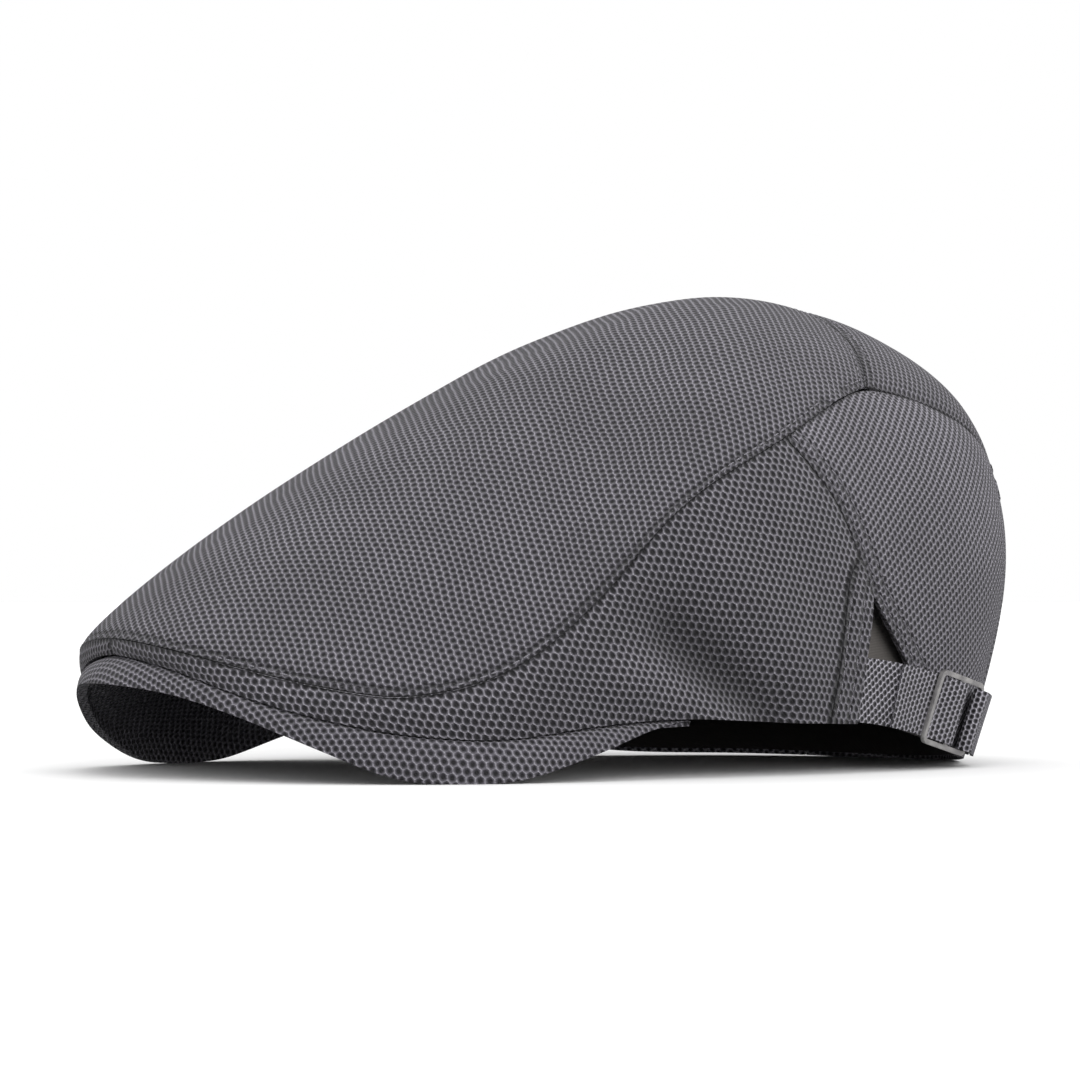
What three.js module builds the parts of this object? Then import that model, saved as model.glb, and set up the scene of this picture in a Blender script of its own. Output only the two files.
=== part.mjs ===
// A flat cap in open mesh cloth, sewn from panels, with a stiff peak and a strap with a slide buckle.
// Millimetres, +Z up. The peak points to -Y, and the wearer's left, where the strap is, lies at +X.
// The cap stands as it rests on a table: on the low sides of its peak and on the back of its rim.
import * as THREE from "three";
import { mergeVertices } from "three/addons/utils/BufferGeometryUtils.js";

// Head and crown
const HEAD_LENGTH = 206; // outside of the sweatband, front to back
const HEAD_WIDTH = 170; // outside of the sweatband, side to side
const CAP_HEIGHT = 134; // table to the crown's highest point
const FRONT_REACH = 59; // how far the crown's lip stands out ahead of the sweatband
const FRONT_LIFT = 33; // the lip's height above the table
const CROWN_RISE = 32; // crown seam at the back up to the highest point
const WALL_HEIGHT = CAP_HEIGHT - CROWN_RISE; // rim to crown seam at the back of the head
const RIM_PRESS = 0.4; // how far the rim is pressed flat where it rests
const SPREAD = 10; // how far the walls stand out over the rim
const CLOTH = 1.8; // two layers of mesh cloth
const SEAM_GAP = 0.32; // between neighbouring pieces
const CROSS_SEAM_SETBACK = 19; // cross seam behind the highest point, at the middle

// Back panel
const STRIP_WIDTH = 80; // at the rim

// Slit beside the left hem, closed by the strap
const SLIT_WIDTH = 34; // at the rim
const SLIT_HEIGHT = 35;

// Sweatband
const BAND_THICKNESS = 1.5;
const BAND_HEIGHT = 40; // at the sides and back
const BAND_FRONT_HEIGHT = 24;
const BAND_INSET = 1; // its lower edge above the rim
const BAND_CLEARANCE = 0.35; // between the band and the wall or peak round it

// Peak
const PEAK_THICKNESS = 3;
const PEAK_SHOW = 5.5; // how far the peak stands out past the lip, where it stands out most
const PEAK_CLEARANCE = 0.35; // under the rim
const PEAK_ROOT = 7.1 / 11; // where the peak ends at each ear, as a turn round the cap

// Strap and its buckle
const STRAP_WIDTH = 17.6;
const STRAP_THICKNESS = 1;
const STRAP_RAISE = 0.4; // the strap's lower edge above the rim
const STRAP_CLEARANCE = 0.5; // under the strap's tail
const LAYER_GAP = 0.32; // between layers of the strap, and to the buckle's bars
const TAIL_LENGTH = 13; // of the strap's end turned back under itself, ahead of the buckle
const BUCKLE_LENGTH = 26;
const BUCKLE_BAR = 1.4; // width of the bars
const BUCKLE_THICKNESS = 1.2;
const BUCKLE_SETBACK = 23; // buckle to the strip seam
const BUCKLE_CORNER = 2.6; // outer corner radius
const BUCKLE_PLAY = 0.4; // strap to frame, on each side
const BUCKLE_RAISE = 0.45; // more height for the buckle than its bar's wrap needs

// Stations round the left half, from the front centre to the back centre. The right half mirrors them.
// across and along: the sweatband, as shares of half HEAD_WIDTH and of HEAD_LENGTH from its middle.
// aside and ahead: the lip past the sweatband, as shares of FRONT_REACH.
// lift and band: heights of the rim and of the sweatband's lower edge, as shares of FRONT_LIFT.
const STATIONS = [
  { name: "front", across: 0, along: -0.5, aside: 0, ahead: 0.968, lift: 1, band: 1.24 },
  { name: "brow", across: 0.276, along: -0.489, aside: 0.051, ahead: 0.936, lift: 0.897, band: 1.2 },
  { name: "temple", across: 0.535, along: -0.454, aside: 0.041, ahead: 0.892, lift: 0.691, band: 1.08 },
  { name: "corner", across: 0.718, along: -0.403, aside: 0.042, ahead: 0.851, lift: 0.527, band: 0.94 },
  { name: "cheek", across: 0.841, along: -0.345, aside: 0.08, ahead: 0.741, lift: 0.394, band: 0.8 },
  { name: "fore_ear", across: 0.924, along: -0.286, aside: 0.093, ahead: 0.522, lift: 0.352, band: 0.68 },
  { name: "ear", across: 0.971, along: -0.233, aside: 0.063, ahead: 0.297, lift: 0.442, band: 0.57 },
  { name: "over_ear", across: 0.993, along: -0.187, aside: 0.003, ahead: 0, lift: 0.494, band: 0.494 },
  { name: "hind_ear", across: 0.975, along: -0.02, aside: 0, ahead: 0, lift: 0.442, band: 0.442 },
  { name: "slit", across: 0.86, along: 0.146, aside: 0, ahead: 0, lift: 0.4, band: 0.4 },
  { name: "nape", across: 0.594, along: 0.352, aside: 0, ahead: 0, lift: 0.136, band: 0.136 },
  { name: "back", across: 0, along: 0.5, aside: 0, ahead: 0, lift: 0, band: 0 },
];

// How much lower the right half's rim hangs, which has no slit, as shares of FRONT_LIFT.
const RIGHT_HANG = { hind_ear: 0.14, slit: 0.33, nape: 0.1 };

// The wall over each station. out and back: the crown seam's place past the rim, as shares of SPREAD.
// tall: the wall's height, as a share of WALL_HEIGHT. belly and shoulder: how far the wall bulges
// low down and high up, as shares of its own height.
const WALLS = [
  { name: "front", out: 0, back: -0.1, tall: 0.04, belly: 0.1, shoulder: 0.1 },
  { name: "brow", out: 0.15, back: -0.15, tall: 0.048, belly: 0.1, shoulder: 0.1 },
  { name: "temple", out: 0.05, back: 0.05, tall: 0.065, belly: 0.1, shoulder: 0.1 },
  { name: "corner", out: 0, back: 0.1, tall: 0.075, belly: 0.1, shoulder: 0.1 },
  { name: "cheek", out: 0.1, back: 0.1, tall: 0.092, belly: 0.1, shoulder: 0.1 },
  { name: "fore_ear", out: 0.2, back: 0.1, tall: 0.173, belly: 0.08, shoulder: 0.1 },
  { name: "ear", out: 0.27, back: -0.1, tall: 0.308, belly: 0.06, shoulder: 0.08 },
  { name: "over_ear", out: 0.55, back: -0.25, tall: 0.542, belly: 0.05, shoulder: 0.08 },
  { name: "hind_ear", out: 0.1, back: -0.1, tall: 0.745, belly: 0.06, shoulder: 0.12 },
  { name: "slit", out: -1, back: 0.5, tall: 0.912, belly: 0.07, shoulder: 0.19 },
  { name: "nape", out: -1, back: 0.7, tall: 0.99, belly: 0.11, shoulder: 0.25 },
  { name: "back", out: 0, back: -0.6, tall: 1, belly: 0.1, shoulder: 0.22 },
];

// The top over each station. slope: rise over run at the crown seam. crest: length of the level end,
// as a share of the way from the seam to the highest point.
const TOPS = [
  { name: "front", slope: 1.1, crest: 0.25 },
  { name: "brow", slope: 1.1, crest: 0.29 },
  { name: "temple", slope: 1.2, crest: 0.34 },
  { name: "corner", slope: 1.3, crest: 0.4 },
  { name: "cheek", slope: 1.4, crest: 0.43 },
  { name: "fore_ear", slope: 1.5, crest: 0.45 },
  { name: "ear", slope: 1.5, crest: 0.46 },
  { name: "over_ear", slope: 1.5, crest: 0.46 },
  { name: "hind_ear", slope: 1.5, crest: 0.44 },
  { name: "slit", slope: 1.4, crest: 0.44 },
  { name: "nape", slope: 1.2, crest: 0.44 },
  { name: "back", slope: 1.1, crest: 0.44 },
];

// The peak's lower edge. out and ahead: past the lip, as shares of PEAK_SHOW. height: as a share of
// FRONT_LIFT, nothing where the peak stands on the table.
const PEAK_EDGE = [
  { name: "front", out: 0, ahead: 1, height: 0.76 },
  { name: "brow", out: 0.36, ahead: 0.24, height: 0.69 },
  { name: "temple", out: 0.18, ahead: 0.18, height: 0.515 },
  { name: "corner", out: 0.55, ahead: 0.13, height: 0.27 },
  { name: "cheek", out: 0.27, ahead: 0.2, height: 0.03 },
  { name: "fore_ear", out: 0.45, ahead: 0.24, height: 0 },
  { name: "ear", out: 0.5, ahead: 0.18, height: 0.21 },
  { name: "over_ear", out: 0.1, ahead: 0.27, height: 0.455 },
];

// The seam between side and quarter panel, as turns round the cap at shares of the wall's height.
const SIDE_SEAM = [
  { name: "rim", rise: 0, turn: 0.797 },
  { name: "slit top", rise: 0.38, turn: 0.803 },
  { name: "middle", rise: 0.7, turn: 0.77 },
  { name: "crown seam", rise: 1, turn: 8 / 11 },
];

// Soft hollows in the cloth: place and half size as turns and shares of the wall, depth in millimetres.
const HOLLOWS = [
  { name: "left ear", turn: 0.6, rise: 0.55, halfTurn: 0.05, halfRise: 0.25, depth: 1.5 },
  { name: "right ear", turn: 1.42, rise: 0.6, halfTurn: 0.05, halfRise: 0.25, depth: 1.2 },
];

const CROWN_CORNER = 9 / 11; // turn where the top, quarter and back panels meet
const APEX_SETBACK = 0.13; // highest point behind the head's middle, as a share of HEAD_LENGTH
const APEX = new THREE.Vector3(0, APEX_SETBACK * HEAD_LENGTH, CAP_HEIGHT);
const UP = new THREE.Vector3(0, 0, 1);
const NORMAL_STEP = 1.6; // reach of the differences that give a surface its normal
const TURN_REACH = 0.004; // turns to each side over which lengths round the cap are measured
const ABOVE_SEAM = 1.0001; // lowest rise that counts as the top
const LEVEL_TOP = 1.97; // rise from which the crown counts as level
const SEARCH_STEPS = 40; // halvings
const FOLD_SHARE = 0.13; // steep start of the top at the crown seam, as a share of the way to the apex
const FLARE_START = 0.74; // rise at which the strip seam starts to flare
const FLARE_POWER = 2.6;
const CROSS_SEAM_POWER = 4; // how late the cross seam bends down to its ends
const ROW_PACKING = 0.5; // how much closer together the rows lie at the crown seam
const MERGE_DISTANCE = 1e-4;
const TURN_STEP = 1 / 44; // columns of panels that meet stand on the same turns
const TOP_COLUMNS = 16; // columns of the top and back panels, which meet at the cross seam
const WALL_ROWS = 14; // rows of every wall panel, so that their seams match
const BACK_TOP_ROWS = 7; // rows of the back panel over the crown seam
const PEAK_COLUMNS = 44;
const BAND_COLUMNS = 72;
const STRAP_STEPS = 24; // of the line that the strap follows
const CORNER_STEPS = 4; // facets in each of the buckle's corners
const LIP_DROP = 0.3; // outer side of the peak's tuck under the lip
const PEAK_TAPER = 0.14; // turns over which the peak thins out to its ends
const PEAK_CLIMB = 0.6; // steepest rise over run of the peak under the rim
const PEAK_ARCH = 1.5;
const PEAK_THIN = 0.45; // thickness at the peak's ends, as a share of the full thickness
const PEAK_CREASE = 0.5; // how far the peak's inner face rounds its bend, as a share of its thickness
const PEAK_BELLY = 0.12; // how far the peak's outer face bulges, as a share of its height
const BAR_STEPS = 4;
const WRAP_STEPS = 8;
const BAND_RISE_START = 0.2;
const BAND_RISE_END = 0.6;
const STRAP_SEAM_RISE = 0.11; // of the strap's middle over the hem and at the strip seam
const STRAP_TUCK = 0.2; // share of the slit's width over which the strap stays down between its edges
const STRAP_LANDING = 0.45; // share of the slit's width at which it lies on the crown
const STRAP_CLIMB = 0.3; // past the front bar
const TAIL_EASE = 2.5; // to each side of the tail's end
const BAR_REACH = 3; // how far past the front bar the strap starts to climb, in widths of a bar
const CLIMB_STEPS = 22;
const TAB_STEPS = 5;

/** Closed curve through the left half's points and their mirror images, front centre first. */
function loopThrough(points, mirror = ({ x, y, z }) => new THREE.Vector3(-x, y, z), type = "centripetal") {
  const mirrored = points.map(mirror).slice(1, -1).reverse();
  return new THREE.CatmullRomCurve3([...points, ...mirrored], true, type);
}

/** Mirror image of a point of the rim at a station, hung lower where the right half hangs. */
function hungMirror({ x, y, z }, index) {
  const hang = RIGHT_HANG[STATIONS[index].name] ?? 0;
  return new THREE.Vector3(-x, y, z - hang * FRONT_LIFT);
}

/** Loop of two values for each station, read back as y and z. */
function valuesLoop(rows, first, second) {
  const values = rows.map((row) => new THREE.Vector3(0, row[first], row[second]));
  return loopThrough(values, undefined, "catmullrom");
}

/** Point of a loop at a turn: 0 is the front centre, 1 the back centre, and 2 the front again. */
function onLoop(loop, turn) {
  return loop.getPoint(THREE.MathUtils.euclideanModulo(turn, 2) / 2);
}

const stationTurn = (index) => index / (STATIONS.length - 1);

const bandLoop = loopThrough(STATIONS.map((row) => new THREE.Vector3(
  (row.across * HEAD_WIDTH) / 2,
  row.along * HEAD_LENGTH,
  row.band * FRONT_LIFT,
)), hungMirror);

/** Level direction away from the head at a turn. */
function outward(turn) {
  const tangent = bandLoop.getTangent(THREE.MathUtils.euclideanModulo(turn, 2) / 2);
  return new THREE.Vector3(tangent.y, -tangent.x, 0).normalize();
}

const rimPoints = STATIONS.map((row, index) => {
  const point = onLoop(bandLoop, stationTurn(index));
  point.addScaledVector(outward(stationTurn(index)), CLOTH + BAND_CLEARANCE);
  point.add(new THREE.Vector3(row.aside * FRONT_REACH, -row.ahead * FRONT_REACH, 0));
  return point.setZ(row.lift * FRONT_LIFT);
});
const rimLoop = loopThrough(rimPoints, hungMirror);

/** Outer edge of the rim at a turn, pressed flat where it rests on the table. */
function rimPlace(turn) {
  const point = onLoop(rimLoop, turn);
  return point.setZ(Math.max(0, point.z - RIM_PRESS));
}

const seamLoop = loopThrough(WALLS.map((row, index) => rimPoints[index].clone().add(
  new THREE.Vector3(row.out * SPREAD, row.back * SPREAD, row.tall * WALL_HEIGHT),
)));
const bulges = valuesLoop(WALLS, "belly", "shoulder");
const tops = valuesLoop(TOPS, "slope", "crest");

/** Cubic curve's point at t. */
function bezier(start, startHandle, endHandle, end, t) {
  return new THREE.CubicBezierCurve3(start, startHandle, endHandle, end).getPoint(t);
}

/** How deep the soft hollows are at a place of the crown. */
function hollowDepth(turn, rise) {
  return HOLLOWS.reduce((sum, hollow) => {
    const across = (THREE.MathUtils.euclideanModulo(turn, 2) - hollow.turn) / hollow.halfTurn;
    const up = (rise - hollow.rise) / hollow.halfRise;
    return sum + hollow.depth * Math.exp(-across * across - up * up);
  }, 0);
}

/** Outer surface of the crown. rise: 0 at the rim, 1 at the crown seam, 2 at the highest point. */
function crown(turn, rise) {
  const seam = onLoop(seamLoop, turn);
  const inward = APEX.clone().sub(seam).setZ(0);
  if (rise > 1) {
    const { y: slope, z: crest } = onLoop(tops, turn);
    const steep = seam.clone().addScaledVector(inward, FOLD_SHARE);
    steep.z += slope * FOLD_SHARE * inward.length();
    const level = APEX.clone().addScaledVector(inward, -crest);
    return bezier(seam, steep, level, APEX, rise - 1);
  }
  const rim = rimPlace(turn);
  const { y: belly, z: shoulder } = onLoop(bulges, turn);
  const out = inward.normalize().negate();
  const height = seam.distanceTo(rim);
  const low = rim.clone().lerp(seam, 1 / 3).addScaledVector(out, belly * height);
  const high = rim.clone().lerp(seam, 2 / 3).addScaledVector(out, shoulder * height);
  const ease = Math.sin(Math.PI * rise);
  return bezier(rim, low, high, seam, rise).addScaledVector(out, -hollowDepth(turn, rise) * ease);
}

/** Moves a rise up or down the crown by a length in millimetres. */
function shiftRise(turn, rise, distance) {
  const seam = onLoop(seamLoop, turn);
  const wall = seam.distanceTo(rimPlace(turn));
  const top = seam.distanceTo(APEX);
  const place = (rise > 1 ? wall + (rise - 1) * top : rise * wall) + distance;
  return THREE.MathUtils.clamp(place > wall ? 1 + (place - wall) / top : place / wall, 0, 2);
}

/** Turn that a length in millimetres takes up along the crown at a place. */
function turnFor(turn, rise, distance) {
  const chord = crown(turn + TURN_REACH, rise).distanceTo(crown(turn - TURN_REACH, rise));
  return (distance * 2 * TURN_REACH) / chord;
}

/** How far a place is above the crown seam, or below it where negative, in millimetres. */
function seamDistance(turn, rise) {
  const seam = onLoop(seamLoop, turn);
  return (rise - 1) * seam.distanceTo(rise > 1 ? APEX : rimPlace(turn));
}

/**
 * Outward normal of the crown, averaged over a short reach so that it turns smoothly at the crown seam.
 * The edges on both sides of that seam share one normal.
 */
function crownNormal(turn, place) {
  if (place > LEVEL_TOP) return UP.clone();
  const distance = seamDistance(turn, place);
  const past = Math.max(0, Math.abs(distance) - SEAM_GAP) * (NORMAL_STEP / (NORMAL_STEP - SEAM_GAP));
  const rise = past < NORMAL_STEP ? shiftRise(turn, 1, Math.sign(distance) * past) : place;
  const side = turnFor(turn, rise, NORMAL_STEP);
  const along = crown(turn + side, rise).sub(crown(turn - side, rise));
  const upward = crown(turn, shiftRise(turn, rise, NORMAL_STEP))
    .sub(crown(turn, shiftRise(turn, rise, -NORMAL_STEP)));
  const normal = along.cross(upward).normalize();
  if (place === 0) normal.setZ(0).normalize();
  return normal;
}

/** Value between low and high at which a rising function reaches a target. */
function solve(rising, target, low, high) {
  let [below, above] = [low, high];
  for (let step = 0; step < SEARCH_STEPS; step += 1) {
    const middle = (below + above) / 2;
    if (rising(middle) < target) below = middle;
    else above = middle;
  }
  return (below + above) / 2;
}

/** Turn and rise of the top's point over a place in plan. */
function topPlace(x, y) {
  const bearing = (px, py) => Math.atan2(Math.abs(px - APEX.x), APEX.y - py);
  const seamBearing = (turn) => {
    const seam = onLoop(seamLoop, turn);
    return bearing(seam.x, seam.y);
  };
  const half = solve(seamBearing, bearing(x, y), 0, 1);
  const turn = x >= APEX.x ? half : 2 - half;
  const distance = Math.hypot(x - APEX.x, y - APEX.y);
  const covered = (rise) => {
    const point = crown(turn, rise);
    return -Math.hypot(point.x - APEX.x, point.y - APEX.y);
  };
  return { turn, rise: solve(covered, -distance, ABOVE_SEAM, 2) };
}

/** y of the cross seam at a distance from the middle. */
function crossSeamY(x) {
  const corner = onLoop(seamLoop, CROWN_CORNER);
  const bend = Math.abs(x / corner.x) ** CROSS_SEAM_POWER;
  return THREE.MathUtils.lerp(APEX.y + CROSS_SEAM_SETBACK, corner.y, bend);
}

/** Turn of the left seam between side and quarter panel. */
function sideSeam(rise) {
  const upper = Math.max(1, SIDE_SEAM.findIndex((row) => row.rise >= rise));
  const [low, high] = [SIDE_SEAM[upper - 1], SIDE_SEAM[upper]];
  const t = THREE.MathUtils.clamp((rise - low.rise) / (high.rise - low.rise), 0, 1);
  return THREE.MathUtils.lerp(low.turn, high.turn, t);
}

const stripTurn = solve((turn) => -rimPlace(turn).x, -STRIP_WIDTH / 2, CROWN_CORNER, 1);

/** Turn of the left seam between quarter and back panel: upright, then flaring to the corner. */
function stripSeam(rise) {
  const flare = Math.max(0, (rise - FLARE_START) / (1 - FLARE_START)) ** FLARE_POWER;
  return THREE.MathUtils.lerp(stripTurn, CROWN_CORNER, flare);
}

/** Turn that half a seam's gap takes up at a place. */
function halfGap(turn, rise) {
  return turnFor(turn, rise, SEAM_GAP / 2);
}

/** Turn of the slit's rear edge, which is the quarter panel's seam edge above the slit. */
function slitEdge(rise) {
  const seam = sideSeam(rise) + halfGap(sideSeam(rise), rise);
  const height = onLoop(seamLoop, seam).distanceTo(rimPlace(seam));
  const open = Math.max(0, 1 - (rise * height) / SLIT_HEIGHT);
  return seam + turnFor(seam, rise, SLIT_WIDTH * open);
}

/** Grid of places in a four-sided patch, blended from its sides. Rows may be packed towards the top. */
function patch({ bottom, top, left, right }, columns, rows, rowAt = (share) => share) {
  const placeAt = (u, w) => {
    const upward = bottom(u).lerp(top(u), w);
    const across = left(w).lerp(right(w), u);
    const corners = bottom(0).lerp(bottom(1), u).lerp(top(0).lerp(top(1), u), w);
    return upward.add(across).sub(corners);
  };
  const steps = (count) => Array.from({ length: count + 1 }, (_, index) => index / count);
  return steps(rows).map((row) => steps(columns).map((column) => placeAt(column, rowAt(row))));
}

/** Closed solid between two grids of points. A ring's last column joins its first. */
function sheetSolid(outer, inner, ring = false) {
  const [rows, columns] = [outer.length, outer[0].length];
  const spans = ring ? columns : columns - 1;
  const over = (row, column) => row * columns + (column % columns);
  const under = (row, column) => over(rows + row, column);
  const triangles = [];
  const quad = (a, b, c, d) => triangles.push([a, b, c], [a, c, d]);
  for (let column = 0; column < spans; column += 1) {
    const next = column + 1;
    for (let row = 0; row < rows - 1; row += 1) {
      quad(over(row, column), over(row, next), over(row + 1, next), over(row + 1, column));
      quad(under(row, column), under(row + 1, column), under(row + 1, next), under(row, next));
    }
    quad(under(0, column), under(0, next), over(0, next), over(0, column));
    quad(over(rows - 1, column), over(rows - 1, next), under(rows - 1, next), under(rows - 1, column));
  }
  for (let row = 0; !ring && row < rows - 1; row += 1) {
    quad(over(row, 0), over(row + 1, 0), under(row + 1, 0), under(row, 0));
    quad(over(row, spans), under(row, spans), under(row + 1, spans), over(row + 1, spans));
  }
  const points = [...outer.flat(), ...inner.flat()];
  const loose = new THREE.BufferGeometry();
  const numbers = points.flatMap((point) => point.toArray());
  loose.setAttribute("position", new THREE.Float32BufferAttribute(numbers, 3));
  loose.setIndex(triangles.flat());
  return dropFlatTriangles(mergeVertices(loose, MERGE_DISTANCE));
}

/** Removes the triangles that lost a side when their points were merged. */
function dropFlatTriangles(geometry) {
  const index = Array.from(geometry.index.array);
  const kept = [];
  for (let first = 0; first < index.length; first += 3) {
    const corners = index.slice(first, first + 3);
    if (new Set(corners).size === 3) kept.push(...corners);
  }
  geometry.setIndex(kept);
  geometry.computeVertexNormals();
  return geometry;
}

/** Cloth wall under a grid of places on the crown. */
function clothPanel(places, toCrown) {
  const spots = places.map((row) => row.map(toCrown));
  const outer = spots.map((row) => row.map(({ turn, rise }) => crown(turn, rise)));
  const inner = outer.map((row, r) => row.map((point, c) => {
    const { turn, rise } = spots[r][c];
    return point.clone().addScaledVector(crownNormal(turn, rise), -CLOTH);
  }));
  return sheetSolid(outer, inner);
}

const pair = (x, y) => new THREE.Vector2(x, y);
const wallPlace = ({ x, y }) => ({ turn: x, rise: y });
const mirrorPlaces = (places) => places.map((row) => row.map(({ x, y }) => pair(2 - x, y)).reverse());
const packedUp = (share) => share * (1 + ROW_PACKING * (1 - share));

/** Highest rise of a wall panel, half a seam under the crown seam. */
function wallTop(turn) {
  return shiftRise(turn, 1, -SEAM_GAP / 2);
}

/** Wall patch between two edges that give their turn at each rise, up to a rise for each turn. */
function wallPatch(front, rear, columns, highest = wallTop) {
  const side = (edge) => (w) => pair(edge(w), w * highest(edge(1)));
  const level = (w) => (u) => {
    const turn = THREE.MathUtils.lerp(front(w), rear(w), u);
    return pair(turn, w * highest(turn));
  };
  const sides = { bottom: level(0), top: level(1), left: side(front), right: side(rear) };
  return patch(sides, columns, WALL_ROWS, packedUp);
}

const frontEdge = (rise) => halfGap(0, rise);
const hemEdge = (rise) => sideSeam(rise) - halfGap(sideSeam(rise), rise);
const seamEdge = (rise) => sideSeam(rise) + halfGap(sideSeam(rise), rise);
const stripEdge = (rise) => stripSeam(rise) - halfGap(stripSeam(rise), rise);
const backEdge = (rise) => stripSeam(rise) + halfGap(stripSeam(rise), rise);

function sidePanelPlaces() {
  return wallPatch(frontEdge, hemEdge, Math.round(sideSeam(1) / TURN_STEP));
}

function quarterPanelPlaces(front) {
  return wallPatch(front, stripEdge, Math.round((CROWN_CORNER - sideSeam(1)) / TURN_STEP));
}

/** Places of the back panel: up the wall to the crown seam, then over the top to the cross seam. */
function backPanelPlaces() {
  const wall = wallPatch(backEdge, (rise) => 2 - backEdge(rise), TOP_COLUMNS, () => 1);
  const seam = wall[WALL_ROWS];
  const corner = crown(seam[0].x, 1);
  const over = (place, column, share) => {
    if (column === 0 || column === TOP_COLUMNS) return place;
    const { x, y } = crown(place.x, 1);
    const end = THREE.MathUtils.lerp(corner.x, -corner.x, column / TOP_COLUMNS);
    const { turn, rise } = topPlace(
      THREE.MathUtils.lerp(x, end, share),
      THREE.MathUtils.lerp(y, crossSeamY(end) + SEAM_GAP / 2, share),
    );
    return pair(turn, rise);
  };
  const rows = Array.from({ length: BACK_TOP_ROWS }, (_, row) => (row + 1) / BACK_TOP_ROWS);
  return [...wall, ...rows.map((share) => seam.map((place, column) => over(place, column, share)))];
}

/** Places in plan across the top, from the front lip back to the cross seam. */
function topPanelPlaces() {
  const corner = CROWN_CORNER - halfGap(CROWN_CORNER, 1);
  const alongSeam = (turn) => {
    const point = crown(turn, shiftRise(turn, 1, SEAM_GAP / 2));
    return pair(point.x, point.y);
  };
  const end = alongSeam(corner);
  const lip = (TOP_COLUMNS / 2) * TURN_STEP;
  return patch({
    bottom: (u) => alongSeam(THREE.MathUtils.lerp(-lip, lip, u)),
    top: (u) => {
      const x = THREE.MathUtils.lerp(-end.x, end.x, u);
      return pair(x, crossSeamY(x) - SEAM_GAP / 2);
    },
    left: (w) => alongSeam(-THREE.MathUtils.lerp(lip, corner, w)),
    right: (w) => alongSeam(THREE.MathUtils.lerp(lip, corner, w)),
  }, TOP_COLUMNS, Math.round((CROWN_CORNER - lip) / TURN_STEP));
}

/** Turn measured from the front centre, whichever side it is on. */
function turnFromFront(turn) {
  return Math.abs(THREE.MathUtils.euclideanModulo(turn + 1, 2) - 1);
}

// The peak's lower edge, closed along the rim behind it
const peakLoop = loopThrough(rimPoints.map((rim, index) => {
  const row = PEAK_EDGE[index];
  if (!row) return rim.clone();
  const edge = rim.clone().add(new THREE.Vector3(row.out * PEAK_SHOW, -row.ahead * PEAK_SHOW, 0));
  return edge.setZ(row.height * FRONT_LIFT);
}), hungMirror);

/** Peak's upper and lower points at a turn, from the head out to its edge. */
function peakSection(turn) {
  const away = outward(turn);
  const band = onLoop(bandLoop, turn);
  const rim = rimPlace(turn);
  const edge = onLoop(peakLoop, turn);
  edge.setZ(Math.max(0, edge.z));
  const across = crownNormal(turn, 0);
  const lip = rim.clone().setZ(rim.z - PEAK_CLEARANCE - LIP_DROP);
  const tuck = rim.clone().addScaledVector(across, -CLOTH - PEAK_CLEARANCE).setZ(rim.z - PEAK_CLEARANCE);
  const head = band.clone().addScaledVector(away, BAND_CLEARANCE);
  const room = Math.hypot(tuck.x - head.x, tuck.y - head.y);
  const taper = THREE.MathUtils.smoothstep(PEAK_ROOT - turnFromFront(turn), 0, PEAK_TAPER);
  const thickness = PEAK_THICKNESS * THREE.MathUtils.lerp(PEAK_THIN, 1, taper);
  head.z = Math.min(band.z + thickness, tuck.z + PEAK_CLIMB * room);
  const middle = head.clone().lerp(tuck, 0.5).setZ((head.z + tuck.z) / 2 + PEAK_ARCH * taper);
  const show = lip.clone().lerp(edge, 0.5).addScaledVector(across, PEAK_BELLY * lip.distanceTo(edge));
  const down = new THREE.Vector3(0, 0, -thickness);
  const inward = across.clone().multiplyScalar(-thickness);
  return {
    upper: [head, middle, tuck, lip, show, edge],
    lower: [
      head.clone().add(down),
      middle.clone().add(down),
      tuck.clone().add(down),
      lip.clone().add(down).addScaledVector(inward, PEAK_CREASE),
      show.clone().add(inward).addScaledVector(down, PEAK_CREASE / 2),
      edge.clone().add(inward),
    ],
  };
}

function peakSolid() {
  const sections = Array.from({ length: PEAK_COLUMNS + 1 }, (_, column) => (
    peakSection(THREE.MathUtils.lerp(-PEAK_ROOT, PEAK_ROOT, column / PEAK_COLUMNS))
  ));
  const rows = (layer) => sections[0][layer].map((_, row) => sections.map((section) => section[layer][row]));
  return sheetSolid(rows("lower"), rows("upper"));
}

function sweatbandSolid() {
  const turns = Array.from({ length: BAND_COLUMNS }, (_, column) => (2 * column) / BAND_COLUMNS);
  const ring = (height, depth) => turns.map((turn) => {
    const point = onLoop(bandLoop, turn).addScaledVector(outward(turn), -depth);
    return point.setZ(point.z + BAND_INSET + height(turn));
  });
  const low = () => 0;
  const tall = (turn) => THREE.MathUtils.lerp(
    BAND_FRONT_HEIGHT,
    BAND_HEIGHT,
    THREE.MathUtils.smoothstep(turnFromFront(turn), BAND_RISE_START, BAND_RISE_END),
  );
  const side = (depth) => [ring(low, depth), ring(tall, depth)];
  return sheetSolid(side(0), side(BAND_THICKNESS), true);
}

/** Turn, rise and place of the line that the middle of the strap follows, just over the rim. */
function strapMiddle(turn) {
  const rise = shiftRise(turn, 0, STRAP_RAISE + STRAP_WIDTH / 2);
  return { turn, rise, point: crown(turn, rise) };
}

const strapStart = hemEdge(STRAP_SEAM_RISE);
const strapEnd = stripEdge(STRAP_SEAM_RISE);
const strapCurve = new THREE.CatmullRomCurve3(Array.from({ length: STRAP_STEPS + 1 }, (_, index) => (
  strapMiddle(THREE.MathUtils.lerp(strapStart, strapEnd, index / STRAP_STEPS)).point
)));
const strapRun = strapCurve.getLength();
const buckleMiddle = strapRun - BUCKLE_SETBACK - BUCKLE_LENGTH / 2;

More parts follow.
